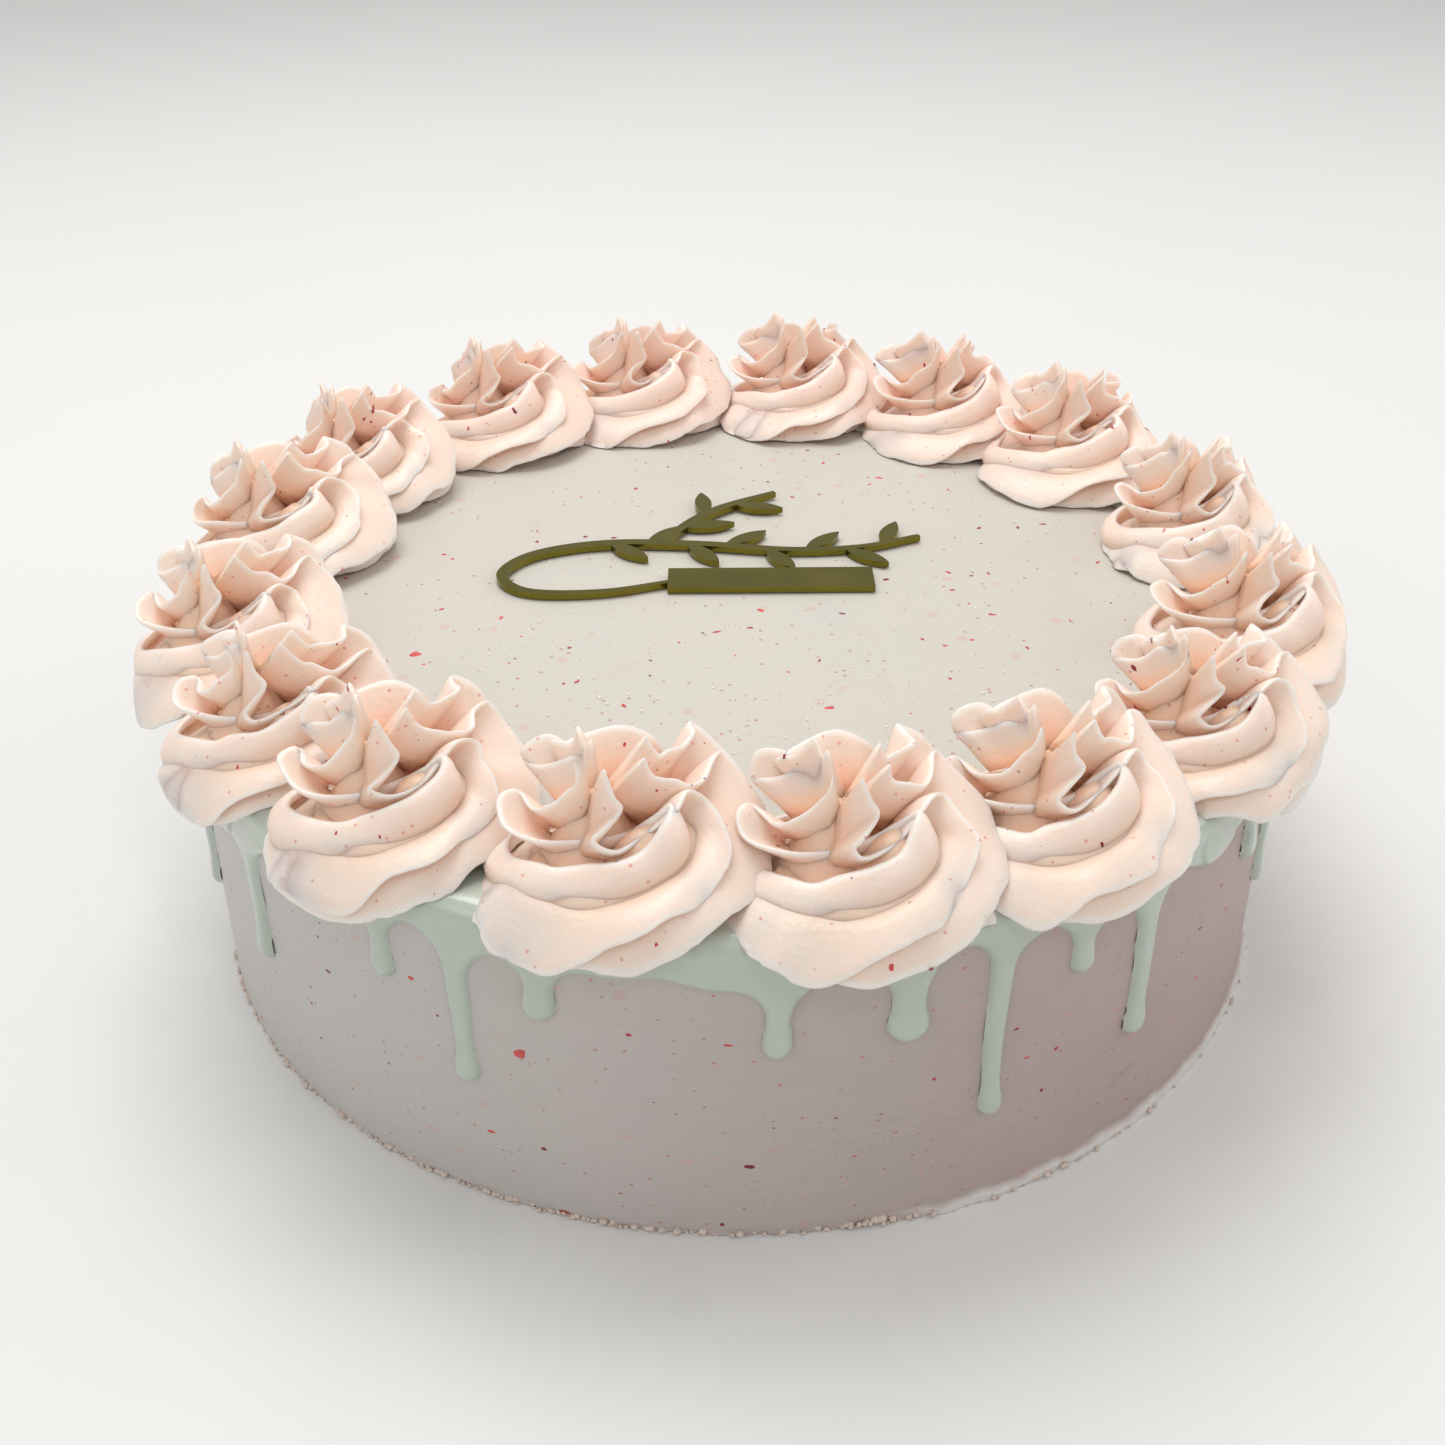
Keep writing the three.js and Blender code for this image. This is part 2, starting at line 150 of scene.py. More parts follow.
RIBBON_RIMS = [
    [(-3, 7, -16, 0.6), (-2.3, 2, -20, 0.8), (-1.6, -6, -21.5, 0.8), (-0.8, -15, -17, 0.8),
     (0, -20.5, -8, 0.6), (0.6, -22, -1, 0.6), (1, -21.2, 4, 1.2), (2, -18.2, 13, 0.8),
     (3, -10.8, 20, 1.2), (4, -2.5, 20, 5.4), (5, 5.5, 19, 7), (5.5, 8.8, 17, 7.4),
     (6, 12.6, 13.4, 8.4), (6.5, 15.8, 9, 10), (7, 17.2, 5, 12), (7.5, 16.8, 1, 14.2),
     (8, 14.6, -2.5, 17.5), (8.5, 11.9, -0.9, 20), (9, 9.5, 1.5, 18.5), (9.7, 4.2, 4.6, 15),
     (10.3, -0.7, 6.5, 14), (10.8, -2.9, 5.4, 15.5), (11.3, -1, 4.5, 18), (11.8, 1.5, 3.2, 20.3),
     (12.4, 0.5, 2.8, 23.2), (13, -0.8, 2.6, 28.4)],
    [(-3, 5, -14, 0.5), (-2, 0, -17, 0.5), (-1, -8, -16, 0.5), (0, -14, -8, 0.6),
     (1, -21, -1, 0.4), (2, -19.5, 9.5, 0.4), (2.5, -14.5, 16, 0.4), (3, -6.5, 19, 0.4),
     (4, -1, 20.5, 0.6), (5, 7, 21, 2.6), (5.6, 12, 19, 4), (6.2, 17.5, 14, 4.5),
     (6.8, 21.8, 8, 5), (7.3, 24, 0.5, 8), (7.8, 23.5, -7, 11), (8.3, 21.5, -12, 15),
     (8.8, 19, -14.5, 18.5), (9.3, 17.5, -13.5, 20), (9.8, 15.7, -10.5, 20),
     (10.3, 14.5, -6.5, 19.3), (10.8, 12.5, -4, 19.5), (11.5, 9.5, -3.4, 21.5),
     (12.3, 6.5, -2.5, 23), (13, 4.8, -0.6, 28.2)],
    [(-3, 4, -11, 0.6), (-2, 0, -13, 0.6), (-1, -7, -12, 0.6), (0, -10, -8, 0.6),
     (1, -11, -4, 0.6), (2, -11, 5, 0.6), (3, -5, 9, 0.6), (4, 2, 11.5, 0.6), (5, 10, 14, 0.6),
     (5.7, 16, 12, 1), (6.3, 20.5, 8, 1), (6.9, 23.2, 1, 2.5), (7.4, 24, -5, 4.5),
     (7.9, 23.5, -11.5, 7.5), (8.3, 21.8, -16.5, 11.5), (8.7, 19.5, -19.2, 16),
     (9.1, 16.8, -20.3, 20), (9.5, 13.3, -19.8, 23), (9.9, 13.8, -17.5, 23.2),
     (10.4, 13.9, -15, 22.3), (11, 12, -13.5, 22.3), (11.8, 9.3, -11.5, 22.6),
     (12.4, 7.6, -9.3, 23.6), (13, 6, -7.4, 28)],
    [(-3, 3, -7, 0.6), (-1, -3, -6, 0.6), (0, -6, -7, 0.6), (1, -6, -4, 0.6), (2, -5, 0, 0.6),
     (3, -1, 4, 0.6), (4, 3, 5, 0.6), (5, 8, 3, 0.6), (6, 14, -2, 0.6), (6.7, 19, -8, 0.8),
     (7.4, 19.5, -14, 2), (8, 17.5, -18.5, 4), (8.6, 14, -21.2, 8.5), (9.1, 10.5, -21.7, 14.5),
     (9.6, 7, -21.2, 20.5), (10, 3, -21, 23), (10.5, -4, -20.5, 21.5), (11, -8, -19, 20.5),
     (11.6, -7.5, -17.5, 22.5), (12.3, -5.5, -14.5, 24), (13, -4.3, -11.6, 28.6)],
    [(-3, 4, -7, 4), (-2, -1, -9, 5), (-1, -6, -8, 5), (0, -8, -4, 5), (1, -6, -2, 5),
     (2, -3, 0, 4), (3, -1, 3, 6), (4, 1, 3, 7), (5, 3, 1, 7), (6, 4, -3, 5), (7, 7, -10, 2),
     (7.7, 9, -16, 2), (8.3, 6, -21, 4), (8.9, 2, -22, 9), (9.5, -2.7, -21, 16),
     (10, -6.6, -21, 21.5), (10.4, -10, -21.3, 21.3), (10.7, -12.3, -21.3, 19.5),
     (11, -12.8, -20, 17.5), (11.4, -11.3, -18, 17.7), (11.8, -8.5, -16, 19),
     (12.2, -5.6, -13.2, 22.3), (12.6, -4, -11, 23.4), (13, -2.8, -8, 28)],
    [(-3, 5, -12, 4), (-2, 0, -17.5, 6.5), (-1.2, -8, -19, 7), (-0.4, -14, -15.5, 6),
     (0.3, -16.5, -11, 5.5), (1.2, -15.8, -5, 6.5), (2, -11.7, 1, 8.2), (2.7, -8.5, 5, 9.3),
     (3.4, -5, 6, 10.5), (4.3, 0, 8, 12.6), (5, 4, 6.8, 14.2), (5.7, 7.7, 4.5, 17),
     (6.4, 8.5, 1, 18.5), (7, 6, 0.5, 16), (7.8, 1, 1, 13), (8.6, -5, 0, 11.5),
     (9.4, -12, -3, 11.5), (10.1, -16.5, -8, 12.5), (10.6, -16.8, -13, 14.5),
     (11, -13.9, -14.5, 15), (11.4, -13, -11.6, 14), (11.8, -11.8, -7.5, 14.5),
     (12.1, -10.1, -5.1, 16), (12.4, -7.7, -4, 18.5), (12.6, -5.9, -3.1, 21),
     (12.8, -5, -1.8, 23.6), (13, -4.4, -0.4, 28)],
]
RIBBON_ROOTS = [
    STRAND + [(8, 7, -4, 11), (9, 6, -2, 11), (10, 1, -1, 8), (11, -4, 0, 10), (12, -3, -1, 13.5),
        (13, -2, -2.5, 19.5)],
    STRAND + [(8, 9, -7, 12), (9, 10, -9, 13), (10, 8, -7, 13), (11, 5, -4.5, 14),
        (12, 2, -3.5, 16.5), (13, -0.5, -3, 19.5)],
    STRAND + [(8, 9, -8, 11), (9, 9, -13, 13), (10, 7, -13, 15), (11, 5.5, -11, 15.5),
        (12, 3, -8, 17), (13, -0.5, -4.5, 19.5)],
    STRAND + [(8, 8, -10, 8), (9, 6, -14, 11), (10, 0, -15, 14), (11, -4, -13, 14.5),
        (12, -3, -10, 17), (13, -1.5, -5.5, 19.5)],
    STRAND + [(8, 5, -12, 7), (9, 0, -13, 9), (10, -5, -14, 12), (11, -7, -13, 12),
        (12, -4.5, -9, 15), (13, -2.5, -5, 19.5)],
    [(-3, 4, -10, 0.8), (-2, 0, -15, 0.8), (-1, -9, -16, 0.8), (0, -15, -12, 0.8),
     (1, -17, -5, 0.8), (2, -13, 4, 2), (3, -7.5, 8.5, 3), (4, -1, 9.5, 4.5), (5, 5, 8, 7),
     (6, 9, 4.5, 10.5), (7, 7, -1, 9), (8, 1, -2.5, 7), (9, -6, -4, 6), (10, -10, -9, 7),
     (11, -9, -10, 9.5), (12, -6, -6, 12), (12.5, -4.5, -4, 15), (13, -3, -3.5, 19.5)],
]
MOUNDS = [  # the middle of each, and its heights with the radius at each
    ((-2.5, -5.5), [(0.4, 15), (3, 13), (6.5, 9), (9.5, 6.5), (12.5, 4.8), (15.5, 3.4), (18, 2.3),
        (19.5, 1)]),
    ((4.8, 2.6), [(0.4, 9), (8, 6.5), (11.5, 4.8), (14, 3.2), (15.6, 1.2)]),
]

# Specks of fruit, crumbs and droplets
WALL_FLECKS = [  # place, height, size
    (-109.2, 42, 2.9), (-119.5, 52.5, 1.6), (-134.1, 29.5, 1.2), (-107.7, 18.2, 1.5),
    (-61.2, 34, 1.3), (-73.5, 36.4, 1.2), (-40.7, 27.3, 1.6),
]
TOP_FLECKS = [(-72.9, -23.5, 3.0)]  # x, y, size
WALL_FLECK_COUNT, TOP_FLECK_COUNT = 420, 340
FLAKE_SINK = 0.06
SPECK_TRIES = 170  # on each swirl
SPECK_FACE_AREA = 2e-7  # a smaller face, in square metres, gets no speck
CRUMB_COUNT = 420
HEAP_COUNT, HEAP_AT = 16, -79
BEAD_COUNT, DOME_RISE = 330, 0.42
FLECK_SEED, SPECK_SEED, CRUMB_SEED, BEAD_SEED = 5, 6, 8, 9

# Ornament
ORNAMENT_THICK, ORNAMENT_ROUNDING = 1.5, 0.16
STEM_WIDTH = 3.0
LEAF_LENGTH, LEAF_WIDTH, LEAF_SPREAD = 13.5, 4.4, 48
BAR_SIZE, BAR_CENTRE = (50, 10.5), (8.6, 10)
SPRIGS = [  # the stem's points, where its leaves begin and end, and how many there are
    ([(-14, 9), (-32, 3.5), (-50, 4), (-57, 13), (-50, 24), (-32, 30), (-8, 29), (14, 25.5),
      (32, 27), (47, 33)], 0.5, 0.93, 8),
    ([(-18, 30), (-12, 41), (-3, 51), (11, 60.5)], 0.24, 0.68, 3),
]

# Colours, in linear light
# The coat's top is painted a little lighter than its wall: painted light from above
# The coat's wall is painted lighter at the left and darker at the right: painted shade on the
# right, over a real pinker tone there
COAT_LEFT_PAINTED_LIGHT, COAT_RIGHT_PINK_AND_PAINTED_SHADE, COAT_TOP_PAINTED_LIGHT = (0.55, 0.55, 0.53), (0.405, 0.295, 0.285), (0.60, 0.585, 0.525)
COAT_CLOUDS, COAT_SMEARS = (0.66, 0.56, 0.50), (0.60, 0.47, 0.43)
COAT_PINK_FLECKS, COAT_RED_FLECKS = (0.72, 0.26, 0.23), (0.45, 0.10, 0.10)
# The lip along the foot is painted paler: a painted highlight where it catches the light
COAT_LIP_PAINTED_HIGHLIGHT = (0.72, 0.70, 0.67)
# The ribbons are painted a deeper peach towards their roots: painted shade in the hollows
# The ribbons are painted paler along their rims: a painted highlight
PIPING, PIPING_HOLLOW_PAINTED_SHADE, PIPING_RIM_PAINTED_HIGHLIGHT = (0.945, 0.775, 0.675), (0.97, 0.64, 0.46), (0.96, 0.91, 0.85)
PIPING_CLOUDS, PIPING_BACK = (0.95, 0.655, 0.545), (0.98, 0.66, 0.57)
PIPING_FLECKS = (0.72, 0.16, 0.13)
# Each of these drifts between two colours
GANACHE = [(0.45, 0.52, 0.445), (0.53, 0.585, 0.515)]
GOLD = [(0.14, 0.13, 0.02), (0.24, 0.20, 0.035)]
FRUIT = [(0.66, 0.08, 0.075), (0.20, 0.010, 0.028)]
CRUMB = [(0.80, 0.68, 0.60), (0.62, 0.50, 0.43)]
BEAD = [(0.86, 0.82, 0.74), (0.76, 0.72, 0.64)]
FLOOR = [(0.80, 0.80, 0.79), (0.76, 0.765, 0.76)]

# Studio, in metres and watts
WHITE, WARM_WHITE = (1, 1, 1), (1, 0.985, 0.97)
FLOOR_REACH = 4.0
LIGHTS_TARGET = (0, 0, 0.05)
LIGHTS = [  # name, place, size, power, colour
    ("overhead", (-0.2, 0.45, 1.3), 0.9, 11, WARM_WHITE),
    ("front_left", (-0.9, -0.9, 0.8), 0.8, 1.9, WHITE),
    ("window", (0.3, -0.8, 1.1), 0.13, 1.1, WHITE),
    ("right", (1.1, 0.1, 0.7), 0.8, 2.6, WHITE),
]
WORLD_STRENGTH = 0.56

# Camera, fitted to the cake's rims and foot
IMAGE_SIDE = 1445
FOCAL_PIXELS = 1676.53
CAMERA_PLACE = (-3.396, -354.181, 260.402)
CAMERA_PITCH, CAMERA_ROLL = 31.888, -0.423
SENSOR_WIDTH = 36
NEAREST_SEEN = 0.01  # in metres


# Shapes as arrays of points

def noise(points, scale, seed):
    """Smooth noise from -1 to 1 at each row of points, with lumps about scale wide."""
    table = np.random.default_rng(seed).uniform(-1, 1, NOISE_VALUES)
    place = np.asarray(points, float) / scale
    cell = np.floor(place).astype(np.int64)
    part = place - cell
    part = part * part * (3 - 2 * part)
    total = 0
    for corner in np.ndindex(2, 2, 2):
        weight = np.prod(np.where(np.array(corner) == 1, part, 1 - part), axis=-1)
        total = total + weight * table[(cell + corner) @ NOISE_FACTORS % NOISE_VALUES]
    return total


def bump(x, centre, width):
    """A soft bump of height 1 round centre."""
    return np.exp(-(((x - centre) / width) ** 2))


def smooth_step(x, low, high):
    """0 below low and 1 above high, with a soft step between; low may be the greater."""
    t = np.clip((x - low) / (high - low), 0, 1)
    return t * t * (3 - 2 * t)


def angle_from(degrees, centre):
    """The signed difference of angles, from -180 to 180."""
    return (degrees - centre + 180) % 360 - 180


def arc_from(degrees, centre):
    """The signed distance along the wall from the angle centre."""
    return angle_from(degrees, centre) * math.radians(1) * CAKE_RADIUS


def ring(radius, azimuth, z):
    """Points at these distances from the cake's axis, angles and heights."""
    return np.stack([radius * np.cos(azimuth), radius * np.sin(azimuth), z], axis=-1)


def spline(keys, x):
    """A smooth curve through rows of keys, whose first column is the position, at positions x."""
    keys = np.asarray(keys, float)
    at, values = keys[:, 0], keys[:, 1:]
    slope = np.gradient(values, at, axis=0)
    i = np.clip(np.searchsorted(at, x, side="right") - 1, 0, len(at) - 2)
    span = (at[i + 1] - at[i])[:, None]
    t = ((x - at[i])[:, None]) / span
    return (
        (2 * t**3 - 3 * t**2 + 1) * values[i]
        + (t**3 - 2 * t**2 + t) * span * slope[i]
        + (3 * t**2 - 2 * t**3) * values[i + 1]
        + (t**3 - t**2) * span * slope[i + 1]
    )


def cell_corners(grid):
    """The four values round each cell of a grid whose rows are rings."""
    right = np.roll(grid, -1, axis=1)
    return np.stack([grid[:-1], right[:-1], right[1:], grid[1:]], axis=-1)


def closed_faces(rows, columns):
    """Quads between rings of points, with a cap over the first ring and the last."""
    quads = cell_corners(np.arange(rows * columns).reshape(rows, columns)).reshape(-1, 4)
    caps = [list(range(columns))[::-1], list(range((rows - 1) * columns, rows * columns))]
    return quads.tolist() + caps


def add_object(name, data):
    made = bpy.data.objects.new(name, data)
    bpy.context.collection.objects.link(made)
    return made


def make_piece(name, points, faces, material, slot, values=None):
    """A mesh object that rides on the cake, from points in millimetres. values are named numbers
    for each point."""
    mesh = bpy.data.meshes.new(name)
    mesh.from_pydata((np.asarray(points) * MM).tolist(), [], faces)
    mesh.polygons.foreach_set("use_smooth", [True] * len(mesh.polygons))
    for key, numbers in (values or {}).items():
        layer = mesh.attributes.new(key, "FLOAT", "POINT")
        layer.data.foreach_set("value", np.asarray(numbers, np.float32))
    mesh.materials.append(material)
    piece = add_object(name, mesh)
    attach(piece, "root")
    return piece


# Materials

class Nodes:
    """A material's node tree, with short ways to add to it. Its colour and roughness are plain
    values, for where no nodes take over."""

    def __init__(self, name, colour, roughness):
        self.material = bpy.data.materials.new(name)
        self.material.use_nodes = True
        self.tree = self.material.node_tree
        self.shader = self.tree.nodes["Principled BSDF"]
        self.set("Base Color", (*colour, 1))
        self.set("Roughness", roughness)
        self.place = self.tree.nodes.new("ShaderNodeTexCoord").outputs["Object"]

    def set(self, socket, value):
        self.shader.inputs[socket].default_value = value

    def link(self, source, socket):
        self.tree.links.new(source, self.shader.inputs[socket])

    def add(self, kind, links=(), **values):
        node = self.tree.nodes.new(kind)
        for key, value in values.items():
            setattr(node, key, value)
        for socket, source in links:
            if hasattr(source, "is_output"):
                self.tree.links.new(source, node.inputs[socket])
            else:
                node.inputs[socket].default_value = source
        return node

    def axes(self):
        return list(self.add("ShaderNodeSeparateXYZ", [("Vector", self.place)]).outputs)

    def scaled(self, scale):
        """The object's coordinates, with one lump for that many millimetres on each axis."""
        factors = tuple(1 / (s * MM) for s in np.broadcast_to(scale, 3).tolist())
        links = [("Vector", self.place), ("Scale", factors)]
        return self.add("ShaderNodeMapping", links).outputs[0]

    def noise(self, scale, detail, roughness=0.5):
        links = [("Vector", self.scaled(scale)), ("Scale", 1.0)]
        links += [("Detail", detail), ("Roughness", roughness)]
        return self.add("ShaderNodeTexNoise", links).outputs["Fac"]

    def cells(self, scale):
        return self.add("ShaderNodeTexVoronoi", [("Vector", self.scaled(scale)), ("Scale", 1.0)])

    def attribute(self, name):
        return self.add("ShaderNodeAttribute", attribute_name=name).outputs["Fac"]

    def math(self, operation, *inputs):
        return self.add("ShaderNodeMath", enumerate(inputs), operation=operation).outputs[0]

    def ramp(self, value, low, high):
        """0 below low, 1 above high, with a soft step between; low may be the greater."""
        links = [("Value", value), ("From Min", low), ("From Max", high)]
        return self.add("ShaderNodeMapRange", links, interpolation_type="SMOOTHSTEP").outputs[0]

    def mix(self, share, first, second):
        node = self.add("ShaderNodeMix", [("Factor", share)], data_type="RGBA")
        for socket, source in ((node.inputs[6], first), (node.inputs[7], second)):
            if isinstance(source, tuple):
                socket.default_value = (*source, 1)
            else:
                self.tree.links.new(source, socket)
        return node.outputs[2]

    def tint(self, ground, where, strength, colour):
        """The ground turned by strength towards colour where that is 1."""
        return self.mix(self.math("MULTIPLY", where, strength), ground, colour)

    def colour(self, source):
        self.link(source, "Base Color")

    def gloss(self, pattern, smoothest, spread):
        """A roughness from smoothest, where the pattern is 0, to spread more, where it is 1."""
        self.link(self.math("ADD", self.math("MULTIPLY", pattern, spread), smoothest), "Roughness")

    def relief(self, height, depth):
        node = self.add("ShaderNodeBump", [("Height", height), ("Distance", depth * MM)])
        self.link(node.outputs[0], "Normal")

    def soft(self, weight, radius, scale):
        """Light that spreads inside, over about scale millimetres."""
        self.set("Subsurface Weight", weight)
        self.set("Subsurface Radius", radius)
        self.set("Subsurface Scale", scale * MM)


def fine_flecks(nodes, scale, share, stretch=1.0):
    """1 inside small specks about a third of scale wide, in that share of the cells."""
    cells = nodes.cells((scale * stretch, scale * stretch, scale))
    colour = nodes.add("ShaderNodeSeparateColor", [("Color", cells.outputs["Color"])])
    wanted = nodes.ramp(colour.outputs[0], low=share + 0.01, high=share)
    near = nodes.ramp(cells.outputs["Distance"], low=0.3, high=0.16)
    return nodes.math("MULTIPLY", wanted, near)


def coat_material():
    nodes = Nodes("buttercream_coat", (0.7, 0.62, 0.53), 0.42)
    x, _, z = nodes.axes()
    # painted light: the top is painted lighter than the wall
    painted_light_on_top = nodes.ramp(z, low=(CAKE_HEIGHT - 3) * MM, high=CAKE_HEIGHT * MM)
    # painted shade: the wall is painted darker, and pinker, towards the right
    pink_and_painted_shade_to_right = nodes.ramp(x, low=-CAKE_RADIUS * MM, high=CAKE_RADIUS * MM)
    ground = nodes.mix(painted_light_on_top, nodes.mix(pink_and_painted_shade_to_right, COAT_LEFT_PAINTED_LIGHT, COAT_RIGHT_PINK_AND_PAINTED_SHADE), COAT_TOP_PAINTED_LIGHT)
    clouds = nodes.noise((28, 28, 16), detail=4)
    ground = nodes.tint(ground, clouds, 0.3, COAT_CLOUDS)
    smears = nodes.ramp(nodes.noise((22, 22, 2.6), detail=5, roughness=0.6), low=0.55, high=0.75)
    ground = nodes.tint(ground, smears, 0.22, COAT_SMEARS)
    pink = fine_flecks(nodes, scale=3.0, share=0.12, stretch=1.9)
    ground = nodes.tint(ground, pink, 0.26, COAT_PINK_FLECKS)
    red = fine_flecks(nodes, scale=1.3, share=0.05, stretch=1.4)
    ground = nodes.tint(ground, red, 0.6, COAT_RED_FLECKS)
    # painted highlight: the lip is painted paler
    nodes.colour(nodes.mix(nodes.attribute("lip"), ground, COAT_LIP_PAINTED_HIGHLIGHT))
    scrape = nodes.noise((26, 26, 0.9), detail=3)
    grain = nodes.noise(0.9, detail=2)
    pits = nodes.ramp(nodes.cells(1.6).outputs["Distance"], low=0.0, high=0.16)
    where = nodes.ramp(nodes.noise((34, 34, 22), detail=2), low=0.48, high=0.62)
    pitted = nodes.math("MULTIPLY", nodes.math("SUBTRACT", pits, 1.0), where)
    marks = nodes.math("MULTIPLY", scrape, 0.5)
    marks = nodes.math("ADD", marks, nodes.math("MULTIPLY", grain, 0.22))
    marks = nodes.math("ADD", marks, nodes.math("MULTIPLY", pitted, 0.6))
    nodes.relief(marks, depth=0.32)
    nodes.gloss(clouds, smoothest=0.34, spread=0.2)
    return nodes.material


def piping_material():
    nodes = Nodes("piped_buttercream", (0.86, 0.66, 0.53), 0.4)
    rim = nodes.attribute("rim")
    # painted shade: a deeper peach towards the roots of the ribbons, in the hollows
    hollow = nodes.ramp(rim, low=0.75, high=0.1)
    ground = nodes.mix(hollow, PIPING, PIPING_HOLLOW_PAINTED_SHADE)
    # painted highlight: the rims of the ribbons are painted paler
    ground = nodes.tint(ground, nodes.ramp(rim, low=0.88, high=1.0), 0.85, PIPING_RIM_PAINTED_HIGHLIGHT)
    clouds = nodes.noise(16, detail=3)
    ground = nodes.tint(ground, clouds, 0.38, PIPING_CLOUDS)
    at_back = nodes.ramp(nodes.axes()[1], low=20 * MM, high=120 * MM)
    ground = nodes.tint(ground, at_back, 0.3, PIPING_BACK)
    red = fine_flecks(nodes, scale=1.5, share=0.06)
    nodes.colour(nodes.tint(ground, red, 0.55, PIPING_FLECKS))
    nodes.relief(nodes.noise(1.1, detail=3), depth=0.14)
    nodes.gloss(clouds, smoothest=0.27, spread=0.16)
    nodes.soft(weight=0.4, radius=(1.0, 0.65, 0.45), scale=3.0)
    return nodes.material


def mottled(name, colour, roughness, lumps, detail, first, second):
    """A material that drifts between two colours in soft clouds, and these clouds."""
    nodes = Nodes(name, colour, roughness)
    clouds = nodes.noise(lumps, detail)
    nodes.colour(nodes.mix(clouds, first, second))
    return nodes, clouds


def ganache_material():
    nodes, clouds = mottled("ganache", (0.66, 0.69, 0.61), 0.16, (14, 14, 9), 3, *GANACHE)
    nodes.relief(nodes.noise(2.6, detail=3), depth=0.2)
    nodes.gloss(clouds, smoothest=0.12, spread=0.14)
    nodes.set("Coat Weight", 0.4)
    nodes.set("Coat Roughness", 0.08)
    return nodes.material


def gold_material():
    nodes, haze = mottled("gold_mirror", (0.30, 0.235, 0.05), 0.14, 9, 4, *GOLD)
    nodes.set("Metallic", 1.0)
    nodes.gloss(haze, smoothest=0.08, spread=0.14)
    nodes.relief(nodes.noise(7, detail=1), depth=0.05)
    return nodes.material


def fruit_material():
    nodes = Nodes("strawberry", (0.5, 0.05, 0.07), 0.38)
    shade = nodes.ramp(nodes.noise(7, detail=1), low=0.35, high=0.65)
    nodes.colour(nodes.mix(shade, *FRUIT))
    nodes.relief(nodes.noise(0.5, detail=2), depth=0.08)
    return nodes.material


def crumb_material():
    nodes, _ = mottled("crumb", (0.72, 0.60, 0.52), 0.6, 2, 2, *CRUMB)
    nodes.relief(nodes.noise(0.7, detail=3), depth=0.15)
    return nodes.material


def bead_material():
    nodes, _ = mottled("droplet", (0.7, 0.65, 0.57), 0.05, 3, 1, *BEAD)
    nodes.set("Coat Weight", 0.6)
    nodes.set("Coat Roughness", 0.03)
    return nodes.material


# The coat

def side_relief(degrees, z):
    """How far the wall stands out from a plain cylinder."""
    around = ring(CAKE_RADIUS, np.radians(degrees), z)
    upper = smooth_step(CAKE_HEIGHT - z, 0, CALM_BELOW_TOP)
    relief = sum(height * noise(around * (1, 1, flatness), size, seed) * upper
                 for height, size, flatness, seed in WALL_WAVES)
    lip = lip_share(degrees, z)
    relief += lip * (LIP_THICK + 0.35 * noise(around, 5, seed=4))
    foot = smooth_step(z, 2.4, 0.2) * (1 - lip)
    ragged = 0.35 * noise(around, 3.1, seed=5) + 0.25 * noise(around, 1.5, seed=6)
    relief += foot * (ragged - 0.2)
    across = arc_from(degrees, GOUGE_AT)
    slanted = z - GOUGE_HEIGHT - GOUGE_SLANT * across
    relief -= 0.9 * bump(across, 0, width=3.6) * bump(slanted, 0, width=1.0)
    relief += 0.6 * bump(across, -0.6, width=3.4) * bump(slanted, 1.9, width=0.9)
    across = arc_from(degrees, DENT_AT)
    return relief - 0.5 * bump(across, 0, width=6) * bump(z, DENT_HEIGHT, width=2.4)


def lip_share(degrees, z):
    """1 on the lip of buttercream that runs along part of the foot."""
    inside = smooth_step(degrees, LIP_FROM, LIP_FROM + 8)
    inside = inside * smooth_step(degrees, LIP_TO, LIP_TO - 10)
    wave = 0.5 * np.sin(degrees * 0.9) + 0.3 * np.sin(degrees * 2.3 + 1)
    return inside * smooth_step(z, LIP_HEIGHT + 0.5 + wave, LIP_HEIGHT - 0.8 + wave)


def top_relief(x, y):
    """How far the top stands out from a plane."""
    place = np.stack([x, y, 0 * x], axis=-1)
    inner = smooth_step(CAKE_RADIUS - np.hypot(x, y), 2, 25)
    return (0.25 * noise(place, 55, seed=7) + 0.08 * noise(place, 14, seed=8) - 0.1) * inner


